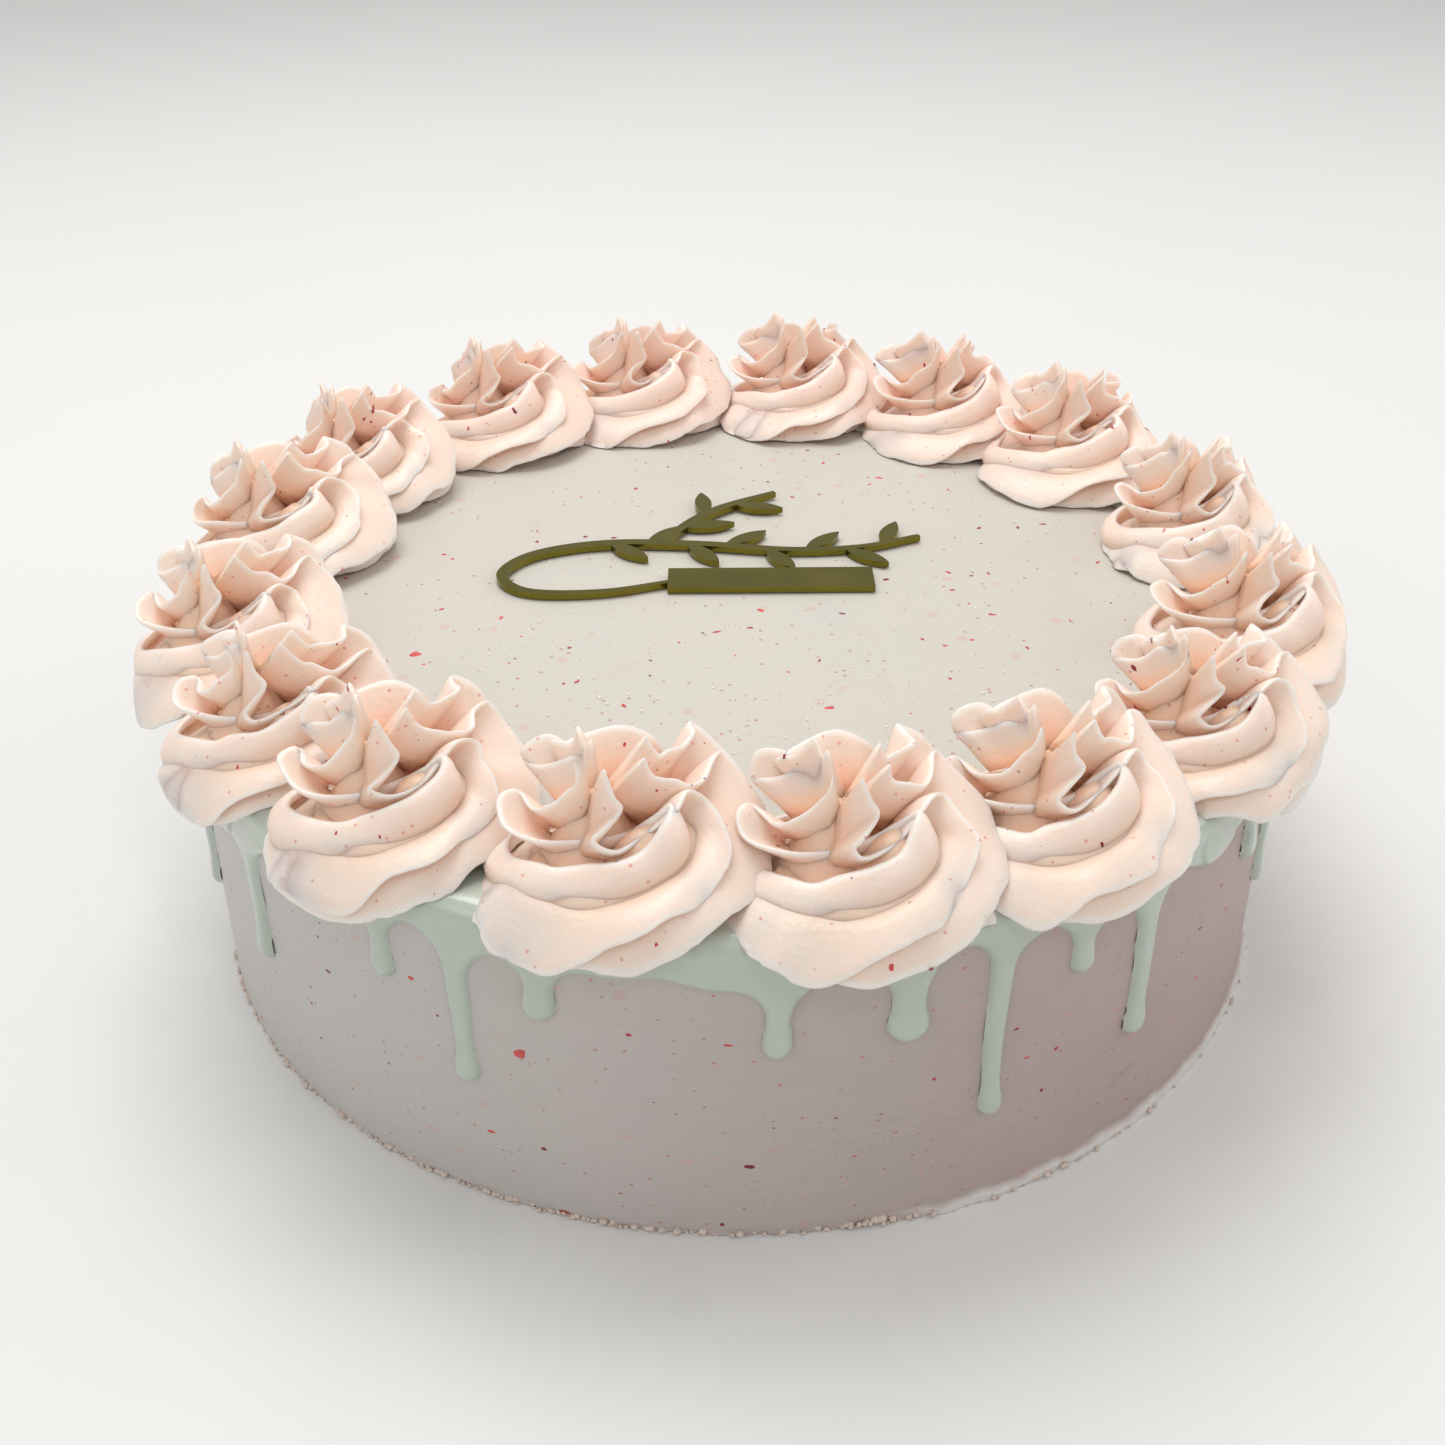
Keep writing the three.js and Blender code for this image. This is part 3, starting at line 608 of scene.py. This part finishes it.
def coat():
    degrees = np.linspace(-180, 180, COAT_COLUMNS, endpoint=False)
    azimuth = np.radians(degrees)
    rows, lip_highlight_shares = [], []
    wall_top = CAKE_HEIGHT - EDGE_RADIUS
    foot = np.linspace(0, FOOT_ZONE, FOOT_ROWS)[:-1]
    for z in np.concatenate([foot, np.arange(FOOT_ZONE, wall_top, SIDE_PITCH), [wall_top]]):
        level = np.full_like(degrees, z)
        rows.append(ring(CAKE_RADIUS + side_relief(degrees, level), azimuth, level))
        lip_highlight_shares.append(lip_share(degrees, level))
    for angle in np.radians(EDGE_ANGLES):
        radius = CAKE_RADIUS - EDGE_RADIUS * (1 - math.cos(angle))
        level = np.full_like(degrees, CAKE_HEIGHT - EDGE_RADIUS * (1 - math.sin(angle)))
        rows.append(ring(radius, azimuth, level))
        lip_highlight_shares.append(0 * degrees)
    inward = np.arange(CAKE_RADIUS - EDGE_RADIUS, TOP_PITCH, -TOP_PITCH)
    for radius in np.append(inward, LAST_RADIUS):
        x, y = radius * np.cos(azimuth), radius * np.sin(azimuth)
        rows.append(np.stack([x, y, CAKE_HEIGHT + top_relief(x, y)], axis=-1))
        lip_highlight_shares.append(0 * degrees)
    faces = closed_faces(len(rows), COAT_COLUMNS)
    # the lip share also paints the lip paler: a painted highlight
    piece = make_piece("coat", np.concatenate(rows), faces, coat_material(), "buttercream_coat",
                       values={"lip": np.concatenate(lip_highlight_shares)})
    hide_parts("cake_body")


# The ganache, as a skin of varying thickness over the wall, the edge and the rim of the top

def edge_path(distance):
    """Radius, height and outward direction on the cake's profile. 0 is where the wall ends and the
    edge begins to turn. Below it the distance runs down the wall, above it over the edge and in
    along the top."""
    turn = np.clip(distance / EDGE_RADIUS, 0, math.pi / 2)
    down = np.minimum(distance, 0)
    inward = np.maximum(distance - EDGE_RADIUS * math.pi / 2, 0)
    radius = CAKE_RADIUS - EDGE_RADIUS * (1 - np.cos(turn)) - inward
    height = CAKE_HEIGHT - EDGE_RADIUS * (1 - np.sin(turn)) + down
    return radius, height, np.cos(turn), np.sin(turn)


def band_depth(degrees):
    """How far below the top the band's wavy edge hangs, as in the solid."""
    azimuth = np.radians(degrees)
    depth = BAND_DEPTH
    for height, count, phase in BAND_WAVES:
        depth = depth + height * np.sin(count * azimuth + phase)
    return depth


def all_drips():
    random = np.random.default_rng(DRIP_SEED)
    step = (BACK_DRIP_TO - BACK_DRIP_FROM) / BACK_DRIP_COUNT
    drips = list(FRONT_DRIPS)
    for i in range(BACK_DRIP_COUNT):
        length = random.uniform(*(SHORT_DRIP if i % 2 else LONG_DRIP))
        place = BACK_DRIP_FROM + step * (i + 0.3 * random.random())
        drips.append((place, length, random.uniform(*BACK_DRIP_WIDTH)))
    return drips


def soft_max(a, b, blend):
    """The greater of a and b, rounded where they are within blend of each other."""
    share = np.clip(0.5 + 0.5 * (a - b) / blend, 0, 1)
    return b + (a - b) * share + blend * share * (1 - share)


def drip_depth(degrees, z, drip):
    """How deep inside a drip's outline each point is, and how near it is to the drip's full end."""
    place, length, width = drip
    lean = 0.25 * np.sin(0.16 * z + place)
    across = np.abs(arc_from(degrees, place) + lean)
    above = z - (CAKE_HEIGHT - length)
    bulb = BULB_SHARE * width
    neck = NECK_SHARE * width + 0.12 * width * smooth_step(above, 10, length - BAND_DEPTH)
    half = neck + (bulb - neck) * smooth_step(above, 9, 3)
    round_end = bulb - np.hypot(across, above - bulb)
    straight = np.where(above > bulb, half - across, round_end)
    return np.minimum(straight, CAKE_HEIGHT + 1 - z), smooth_step(above, 10, 2)


def clipped_grid(points, depth):
    """The part of a wrapped grid of points where depth is above 0, cut cleanly along depth 0."""
    rows, columns = depth.shape
    count_in = cell_corners(depth > 0).sum(axis=-1)
    corners = cell_corners(np.arange(rows * columns).reshape(rows, columns))
    faces = corners[count_in == 4].tolist()
    flat_points = points.reshape(-1, 3)
    flat_depth = depth.ravel()
    extra, crossing = [], {}

    def cut(a, b):
        key = (min(a, b), max(a, b))
        if key not in crossing:
            share = flat_depth[a] / (flat_depth[a] - flat_depth[b])
            outer = flat_points[a] + share * (flat_points[b] - flat_points[a])
            crossing[key] = rows * columns + len(extra)
            extra.append(outer)
        return crossing[key]

    for cell in corners[(count_in > 0) & (count_in < 4)].tolist():
        outline = []
        for a, b in zip(cell, cell[1:] + cell[:1]):
            if flat_depth[a] > 0:
                outline.append(a)
            if (flat_depth[a] > 0) != (flat_depth[b] > 0):
                outline.append(cut(a, b))
        faces.append(outline)
    everything = np.concatenate([flat_points, np.array(extra)])
    used = np.zeros(len(everything), bool)
    for face in faces:
        used[face] = True
    renumber = np.cumsum(used) - 1
    return everything[used], [renumber[face].tolist() for face in faces]


def ganache():
    columns = int(2 * math.pi * CAKE_RADIUS / GANACHE_PITCH)
    degrees = np.linspace(-180, 180, columns, endpoint=False)
    arc_end = EDGE_RADIUS * math.pi / 2
    down = np.arange(-(DRIP_REACH - EDGE_RADIUS), 0, GANACHE_PITCH)
    over = np.linspace(0, arc_end, 6)
    inward = np.arange(arc_end + RIM_PITCH, arc_end + RIM_WIDTH + 1, RIM_PITCH)
    path, around = np.meshgrid(np.concatenate([down, over, inward]), degrees, indexing="ij")
    azimuth = np.radians(around)
    radius, height, out, up = edge_path(path)
    on_wall = np.where(path < 0, height, CAKE_HEIGHT)
    lower = np.where(path < arc_end, on_wall - (CAKE_HEIGHT - band_depth(around)), FAR_INSIDE)
    rim_wave = 1.3 * np.sin(azimuth * 9 + 1) + 0.8 * np.sin(azimuth * 23)
    inner = (RIM_WIDTH - EDGE_RADIUS + rim_wave) - (path - arc_end)
    depth = np.minimum(lower, inner)
    thick = np.full_like(depth, BAND_THICK)
    for drip in all_drips():
        near = np.abs(angle_from(around, drip[0])) < 5
        inside, full = drip_depth(around[near], on_wall[near], drip)
        inside = np.where(path[near] > 0, -5, inside)
        depth[near] = soft_max(depth[near], inside, DRIP_BLEND)
        thick[near] = thick[near] + (DRIP_THICK - BAND_THICK) * full * (inside > -1)
    soft = np.minimum(np.clip(depth, 0, None) / ROUNDED_BORDER, 1)
    lift = -SKIN_SINK + (thick + SKIN_SINK) * np.sqrt(1 - (1 - soft) ** 2)
    place = ring(radius, azimuth, height)
    lift = lift + 0.12 * noise(place, 7, seed=21) * soft
    normal = ring(out, azimuth, up)
    points, faces = clipped_grid(place + lift[..., None] * normal, depth)
    piece = make_piece("drip", points, faces, ganache_material(), "ganache")
    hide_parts("ganache_drip")


# The swirls

def tube(path, radius):
    """Rings of points round a path."""
    along = np.gradient(path, axis=0)
    side = np.cross(along, (0, 0, 1.0))
    side /= np.linalg.norm(side, axis=1)[:, None]
    up = np.cross(side, along)
    up /= np.linalg.norm(up, axis=1)[:, None]
    angle = np.linspace(0, 2 * math.pi, TUBE_SIDES, endpoint=False)[None, :, None]
    spokes = np.cos(angle) * side[:, None] + np.sin(angle) * up[:, None]
    return path[:, None] + radius[:, None, None] * spokes


def mound(centre, levels):
    """A heap of buttercream inside a swirl, from rows of height and radius."""
    levels = np.array(levels)
    angle = np.linspace(0, 2 * math.pi, MOUND_SIDES, endpoint=False)
    z, radius = np.meshgrid(levels[:, 0], angle, indexing="ij")[0], levels[:, 1:]
    x, y = centre[0] + radius * np.cos(angle), centre[1] + radius * np.sin(angle)
    return np.stack([x, y, z], axis=-1)


def sheet_normals(sheet):
    """Directions square to a sheet of points, smoothed along it."""
    normal = np.cross(np.gradient(sheet, axis=0), np.gradient(sheet, axis=1))
    for _ in range(SMOOTHING_ROUNDS):
        normal[1:-1] = (normal[:-2] + 2 * normal[1:-1] + normal[2:]) / 4
    return normal / np.maximum(np.linalg.norm(normal, axis=-1), 1e-6)[..., None]


def ribbon_thickness(late, across, is_bowl):
    """Thin at the rims of the skirts, and thicker in the petals of the crown, where late is 1."""
    rim, root = BOWL_THICK if is_bowl else SKIRT_THICK
    skirt = rim + (root - rim) * (1 - across) ** 1.2
    rim, root = PETAL_THICK
    petal = rim + (root - rim) * (1 - across) ** 1.2
    thick = skirt * (1 - late) + petal * late
    thick[:, -1] *= 0.6
    return thick[..., None]


def ribbon(number, along, random):
    """One ribbon as closed sections along the strand, with each point's place from its root to
    its rim."""
    across = np.linspace(0, 1, RIBBON_ACROSS) ** 0.8
    keys = np.array(RIBBON_RIMS[number])
    keys[:, 1:] += random.uniform(-1, 1, (len(keys), 3)) * RIM_UNEVENNESS
    rim, root = spline(keys, along), spline(RIBBON_ROOTS[number], along)
    reach = rim - root
    length = np.linalg.norm(reach, axis=1)
    run = np.append(0, np.cumsum(np.linalg.norm(np.diff(rim, axis=0), axis=1)))
    run = run + random.uniform(0, 900)
    line = np.stack([run, 0 * run, 0 * run], axis=-1)
    skirt = 0 if number == BOWL else 1 - smooth_step(along, 7.5, 9)
    ruffle = 0.7 * noise(line, 7, seed=31) + 0.22 * noise(line, 1.6, seed=32)
    stretch = 1 + skirt * ruffle / np.maximum(length, 4)
    sheet = root[:, None] + (reach * stretch[:, None])[:, None] * across[None, :, None]
    arch = np.sin(math.pi * across)
    if number == BOWL:
        bulge = BOWL_BULGE * arch * (1 - smooth_step(along, 5.5, 7))[:, None]
        sheet[..., :2] += bulge[..., None] * (root[:, None, :2] - BOWL_CENTRE)
    else:
        sheet[..., 2] += SKIRT_ARCH * arch * (length * (1 - smooth_step(along, 8.5, 10)))[:, None]
    sheet[..., 2] += (0.8 * skirt * noise(line, 6, seed=33))[:, None] * across**2
    normal = sheet_normals(sheet)
    thick = ribbon_thickness(smooth_step(along, 8, 10)[:, None], across, number == BOWL)
    outward = sheet[:, -1] - sheet[:, -2]
    outward /= np.linalg.norm(outward, axis=1)[:, None]
    edge = sheet[:, -1] + 0.45 * outward * thick[:, -1]
    left, right = sheet + 0.5 * thick * normal, sheet - 0.5 * thick * normal
    section = np.concatenate([left, edge[:, None], right[:, ::-1]], axis=1)
    return section, np.tile(np.concatenate([across, [1], across[::-1]]), (len(along), 1))


def swirl_parts(random):
    """The closed surfaces that a swirl is made of: its ribbons, its core and the mounds in its
    crown."""
    along = np.linspace(STRAND[0][0], CROWN_CORE[-1][0], RIBBON_STEPS)
    parts = [ribbon(number, along, random) for number in range(len(RIBBON_RIMS))]
    core = tube(spline(STRAND + CROWN_CORE, along), np.interp(along, *CORE_RADII))
    for rows in (core, *(mound(*heap) for heap in MOUNDS)):
        parts.append((rows, np.zeros(rows.shape[:2])))
    return parts


def settle(points):
    """Ribbons past the cake's edge sag and end within the swirl's reach, and none enters the
    cake."""
    radius = np.hypot(points[:, 0], points[:, 1])
    above = np.clip(points[:, 2] - CAKE_HEIGHT, 0, None)
    sag = DROOP * np.clip(radius - DROOP_FROM, 0, DROOP_WIDTH) ** 2 * np.exp(-above / DROOP_FADE)
    z = points[:, 2] - sag
    soft = OUTER_LIMIT - LIMIT_SOFTNESS
    eased = soft + LIMIT_SOFTNESS * (1 - np.exp(-(radius - soft) / LIMIT_SOFTNESS))
    kept = np.where(radius > soft, eased, radius)
    lowest = CAKE_HEIGHT + GAP
    over_cake = radius < CAKE_RADIUS + 1
    z = np.where(over_cake & (z < lowest), lowest, z)
    wall = CAKE_RADIUS + DRIP_THICK + GAP
    kept = np.where(~over_cake & (z < lowest) & (radius < wall), wall, kept)
    return np.stack([points[:, 0] * kept / radius, points[:, 1] * kept / radius, z], axis=-1)


def swirl(index, material):
    degrees, distance, wide, deep = SWIRLS[index]
    random = np.random.default_rng(SWIRL_SEED + index)
    turns = random.uniform(-FACING_SPREAD, FACING_SPREAD, 2)
    foot_facing, crown_facing = np.radians(SWIRL_FACING + turns)
    height = random.uniform(*SWIRL_HEIGHT)
    points, faces, rims = [], [], []
    start = 0
    for rows, rim in swirl_parts(random):
        steps, sides = rim.shape
        faces += [[start + i for i in face] for face in closed_faces(steps, sides)]
        points.append(rows.reshape(-1, 3))
        rims.append(rim.ravel())
        start += steps * sides
    across, outward, up = np.concatenate(points).T
    azimuth = math.radians(degrees)
    outward, across = outward * deep, across * wide
    facing = foot_facing + (crown_facing - foot_facing) * np.clip(up / CROWN_TOP, 0, 1)
    x = distance * math.cos(azimuth) + outward * np.cos(facing) - across * np.sin(facing)
    y = distance * math.sin(azimuth) + outward * np.sin(facing) + across * np.cos(facing)
    surface = settle(np.stack([x, y, CAKE_HEIGHT + up * height], axis=-1))
    values = {"rim": np.concatenate(rims)}
    name = f"swirl_{index + 1:02d}"
    piece = make_piece(name, surface, faces, material, "piped_buttercream", values)
    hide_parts(f"rosette_{index + 1:02d}")
    return piece


# Specks of fruit, crumbs and droplets

def flake(centre, normal, along, size, stretch, random):
    """A small uneven flake that lies on a surface, as points and faces."""
    sides = 8
    across = normal.cross(along)
    angles = [2 * math.pi * (i + random.uniform(-0.25, 0.25)) / sides for i in range(sides)]
    rim = []
    for angle in angles:
        reach = 0.5 * size * random.uniform(0.65, 1.15)
        lengthways, sideways = reach * stretch * math.cos(angle), reach * math.sin(angle)
        spot = centre + along * lengthways + across * sideways
        rim.append(spot - normal * FLAKE_SINK)
    points = [centre + normal * (FLAKE_SINK + 0.07 * size)] + rim
    return points, [(0, i + 1, (i + 1) % sides + 1) for i in range(sides)]


def gather(items):
    """Joins lists of points and faces into one."""
    points, faces = [], []
    for some_points, some_faces in items:
        start = len(points)
        points += [tuple(p) for p in some_points]
        faces += [tuple(i + start for i in face) for face in some_faces]
    return points, faces


def wall_spot(degrees, z):
    """A point on the wall, its outward direction and the direction along the wall."""
    azimuth = math.radians(degrees)
    normal = Vector((math.cos(azimuth), math.sin(azimuth), 0))
    radius = CAKE_RADIUS + float(side_relief(np.array([degrees]), np.array([z]))[0])
    along = Vector((-math.sin(azimuth), math.cos(azimuth), 0))
    return normal * radius + Vector((0, 0, z)), normal, along


def top_spot(x, y, heading=0.0):
    """A point on the top, its upward direction and the direction of the heading."""
    z = CAKE_HEIGHT + float(top_relief(np.array([x]), np.array([y]))[0])
    along = Vector((math.cos(heading), math.sin(heading), 0))
    return Vector((x, y, z)), Vector((0, 0, 1)), along


def coat_flecks(material):
    """Specks of fruit in the coat: the largest in their places, and the others at random."""
    random = np.random.default_rng(FLECK_SEED)
    items = [flake(*wall_spot(a, z), size, 1.3, random) for a, z, size in WALL_FLECKS]
    items += [flake(*top_spot(x, y, 0.3), size, 1.2, random) for x, y, size in TOP_FLECKS]
    for _ in range(WALL_FLECK_COUNT):
        degrees, z = random.uniform(-180, 180), random.uniform(1, CAKE_HEIGHT - 10)
        size = 0.35 + 1.1 * random.random() ** 3.5
        items.append(flake(*wall_spot(degrees, z), size, random.uniform(1, 2.6), random))
    for _ in range(TOP_FLECK_COUNT):
        radius = (CAKE_RADIUS - 18) * math.sqrt(random.random())
        azimuth, heading = random.uniform(0, 2 * math.pi), random.uniform(0, math.pi)
        size = 0.4 + 1.4 * random.random() ** 3
        spot = top_spot(radius * math.cos(azimuth), radius * math.sin(azimuth), heading)
        items.append(flake(*spot, size, random.uniform(1, 2.3), random))
    make_piece("flecks", *gather(items), material, "buttercream_coat")


def swirl_flecks(swirls, material):
    """Small red specks on the ribbons."""
    random = np.random.default_rng(SPECK_SEED)
    items = []
    for piece in swirls:
        corners, faces = piece.data.vertices, piece.data.polygons
        for _ in range(SPECK_TRIES):
            face = faces[int(random.integers(len(faces) // 5, len(faces)))]
            if face.area < SPECK_FACE_AREA:
                continue
            first, second = face.vertices[:2]
            along = (corners[second].co - corners[first].co).normalized()
            size = 0.25 + 1.1 * random.random() ** 4
            stretch = random.uniform(1, 2.4)
            spot = (face.center / MM, face.normal.copy(), along)
            items.append(flake(*spot, size, stretch, random))
    make_piece("swirl_flecks", *gather(items), material, "piped_buttercream")


def lump(centre, size, random):
    """A small uneven lump: a low ball without its poles."""
    rings, sides = 3, 7
    points = []
    for i in range(rings):
        tilt = math.pi * (i + 1) / (rings + 1)
        for j in range(sides):
            azimuth = 2 * math.pi * j / sides
            reach = 0.5 * size * random.uniform(0.75, 1.15)
            level = math.sin(tilt)
            ray = Vector((level * math.cos(azimuth), level * math.sin(azimuth), math.cos(tilt)))
            points.append(centre + ray * reach)
    return points, closed_faces(rings, sides)


def crumbs(material):
    """Crumbs and scraps of coat round the foot, most of them at the front and the left, with a
    small heap of them at the front."""
    random = np.random.default_rng(CRUMB_SEED)
    items = []
    for _ in range(CRUMB_COUNT):
        at_front = random.random() < 0.75
        degrees = random.normal(-110, 34) if at_front else random.uniform(-180, 180)
        size = 0.5 + 1.3 * random.random() ** 2.5
        spot, normal, _ = wall_spot(degrees, 0.6 * size)
        items.append(lump(spot + normal * random.uniform(-0.2, 0.5), size, random))
    for _ in range(HEAP_COUNT):
        size = random.uniform(1, 2.2)
        degrees = HEAP_AT + random.normal(0, 1.1)
        spot, normal, _ = wall_spot(degrees, 0.6 * size + random.uniform(0, 0.8))
        items.append(lump(spot + normal * random.uniform(0, 0.9), size, random))
    make_piece("crumbs", *gather(items), material, "buttercream_coat")


def dome(spot, size):
    """A round droplet that stands on the top."""
    rings, sides = 4, 10
    angles = [2 * math.pi * j / sides for j in range(sides)]
    points = [spot + Vector((0, 0, DOME_RISE * size))]
    for i in range(1, rings + 1):
        tilt = 0.5 * math.pi * i / rings
        reach, rise = 0.5 * size * math.sin(tilt), DOME_RISE * size * math.cos(tilt)
        rise = rise - 0.04 * (i == rings)
        points += [spot + Vector((reach * math.cos(a), reach * math.sin(a), rise)) for a in angles]
    faces = [(0, 1 + j, 1 + (j + 1) % sides) for j in range(sides)]
    for i in range(rings - 1):
        for j in range(sides):
            here, beside = 1 + i * sides + j, 1 + i * sides + (j + 1) % sides
            faces.append((here, here + sides, beside + sides, beside))
    return points, faces


def beads(material):
    """Tiny clear droplets on the top, most of them beside the front swirls."""
    random = np.random.default_rng(BEAD_SEED)
    items = []
    for _ in range(BEAD_COUNT):
        azimuth = math.radians(random.normal(-90, 42))
        radius = (CAKE_RADIUS - 30) * random.random() ** 0.35
        spot, _, _ = top_spot(radius * math.cos(azimuth), radius * math.sin(azimuth))
        items.append(dome(spot, 0.35 + 0.75 * random.random() ** 1.8))
    make_piece("beads", *gather(items), material, "buttercream_coat")


# The ornament

def curve_points(points, steps):
    """A smooth open curve through the points, with its directions."""
    table = [(i, x, y) for i, (x, y) in enumerate(points)]
    at = np.linspace(0, len(points) - 1, steps)
    line = spline(table, at)
    along = np.gradient(line, axis=0)
    return line, along / np.linalg.norm(along, axis=1)[:, None]


def plate(name, outline):
    """A closed plate from its outline, standing on the top of the cake."""
    count = len(outline)
    low, high = CAKE_HEIGHT + GAP, CAKE_HEIGHT + GAP + ORNAMENT_THICK
    points = [(x * MM, y * MM, z * MM) for z in (low, high) for x, y in outline]
    faces = [list(range(count))[::-1], list(range(count, 2 * count))]
    faces += [[i, (i + 1) % count, count + (i + 1) % count, count + i] for i in range(count)]
    mesh = bpy.data.meshes.new(name)
    mesh.from_pydata(points, [], faces)
    return bpy.data.objects.new(name, mesh)


def stem_plate(points):
    """A stem along its points, full in the middle and finer at its ends."""
    line, along = curve_points(points, 12 * len(points))
    t = np.linspace(0, 1, len(line))
    half = 0.5 * STEM_WIDTH * (0.45 + 0.55 * np.sin(math.pi * t))[:, None]
    side = np.stack([-along[:, 1], along[:, 0]], axis=-1) * half
    return plate("stem", np.concatenate([line - side, (line + side)[::-1]]).tolist())


def leaf_plate(stalk, heading):
    """A leaf from its stalk to its point."""
    t = np.linspace(0, 1, 13)
    half = 0.5 * LEAF_WIDTH * np.sin(math.pi * t) ** 0.8
    x = np.concatenate([t[:-1], t[:0:-1]]) * LEAF_LENGTH
    y = np.concatenate([-half[:-1], half[:0:-1]])
    turn, rise = math.cos(heading), math.sin(heading)
    turned = np.stack([x * turn - y * rise, x * rise + y * turn])
    return plate("leaf", (turned.T + stalk).tolist())


def sprig_plates(points, first, last, leaf_count):
    """A stem with its leaves, which leave it to the left and the right in turn."""
    plates = [stem_plate(points)]
    line, along = curve_points(points, 200)
    length = np.append(0, np.cumsum(np.linalg.norm(np.diff(line, axis=0), axis=1)))
    for i in range(leaf_count):
        share = first + (last - first) * i / (leaf_count - 1)
        k = int(np.searchsorted(length, share * length[-1]))
        spread = (1 if i % 2 else -1) * math.radians(LEAF_SPREAD)
        plates.append(leaf_plate(line[k], math.atan2(along[k, 1], along[k, 0]) + spread))
    return plates


def ornament():
    """The sprigs and the bar, joined into one plate with softly rounded edges."""
    half_x, half_y = 0.5 * BAR_SIZE[0], 0.5 * BAR_SIZE[1]
    x, y = BAR_CENTRE
    base = plate("ornament", [(x - half_x, y - half_y), (x + half_x, y - half_y),
                              (x + half_x, y + half_y), (x - half_x, y + half_y)])
    bpy.context.collection.objects.link(base)
    others = bpy.data.collections.new("ornament_plates")
    for sprig in SPRIGS:
        for part in sprig_plates(*sprig):
            others.objects.link(part)
    joined = base.modifiers.new("join", "BOOLEAN")
    joined.operation = "UNION"
    joined.operand_type = "COLLECTION"
    joined.collection = others
    joined.solver = "EXACT"
    rounded = base.modifiers.new("round", "BEVEL")
    rounded.width = ORNAMENT_ROUNDING * MM
    rounded.segments = 2
    rounded.limit_method = "ANGLE"
    rounded.angle_limit = math.radians(50)
    evaluated = base.evaluated_get(bpy.context.evaluated_depsgraph_get())
    mesh = bpy.data.meshes.new_from_object(evaluated)
    base.modifiers.clear()
    base.data = mesh
    for part in list(others.objects):
        bpy.data.objects.remove(part)
    bpy.data.collections.remove(others)
    mesh.materials.clear()
    mesh.materials.append(gold_material())
    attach(base, "root")
    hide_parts("topper")


# The studio

def floor():
    mesh = bpy.data.meshes.new("floor")
    side = FLOOR_REACH
    corners = [(-side, -side, 0), (side, -side, 0), (side, side, 0), (-side, side, 0)]
    mesh.from_pydata(corners, [], [(0, 1, 2, 3)])
    nodes, _ = mottled("floor", (0.8, 0.8, 0.79), 0.6, 180, 2, *FLOOR)
    mesh.materials.append(nodes.material)
    piece = add_object("floor", mesh)


def lights():
    """Square lights that point at the cake, and an even light from all round."""
    for name, place, size, power, colour in LIGHTS:
        light = bpy.data.lights.new(name, "AREA")
        light.size, light.energy, light.color = size, power, colour
        lamp = add_object(name, light)
        lamp.location = place
        direction = Vector(LIGHTS_TARGET) - Vector(place)
        lamp.rotation_euler = direction.to_track_quat("-Z", "Y").to_euler()
    world = bpy.data.worlds.new("studio")
    world.use_nodes = True
    background = world.node_tree.nodes["Background"]
    background.inputs["Color"].default_value = (*WARM_WHITE, 1)
    background.inputs["Strength"].default_value = WORLD_STRENGTH
    bpy.context.scene.world = world
    bpy.context.scene.view_settings.view_transform = "Standard"


def camera():
    data = bpy.data.cameras.new("camera")
    data.sensor_width = SENSOR_WIDTH
    data.lens = FOCAL_PIXELS / IMAGE_SIDE * data.sensor_width
    data.clip_start = NEAREST_SEEN
    pitch, roll = math.radians(CAMERA_PITCH), math.radians(CAMERA_ROLL)
    forward = Vector((0, math.cos(pitch), -math.sin(pitch)))
    up = Vector((0, math.sin(pitch), math.cos(pitch)))
    right = Vector((1, 0, 0))
    x_axis = math.cos(roll) * right + math.sin(roll) * up
    y_axis = -math.sin(roll) * right + math.cos(roll) * up
    matrix = Matrix((x_axis, y_axis, -forward)).transposed().to_4x4()
    matrix.translation = Vector(CAMERA_PLACE) * MM
    eye = add_object("camera", data)
    eye.matrix_world = matrix
    bpy.context.scene.camera = eye


camera()
lights()
floor()
coat()
ganache()
piping = piping_material()
swirls = [swirl(index, piping) for index in range(len(SWIRLS))]
fruit = fruit_material()
coat_flecks(fruit)
swirl_flecks(swirls, fruit)
crumbs(crumb_material())
beads(bead_material())
ornament()
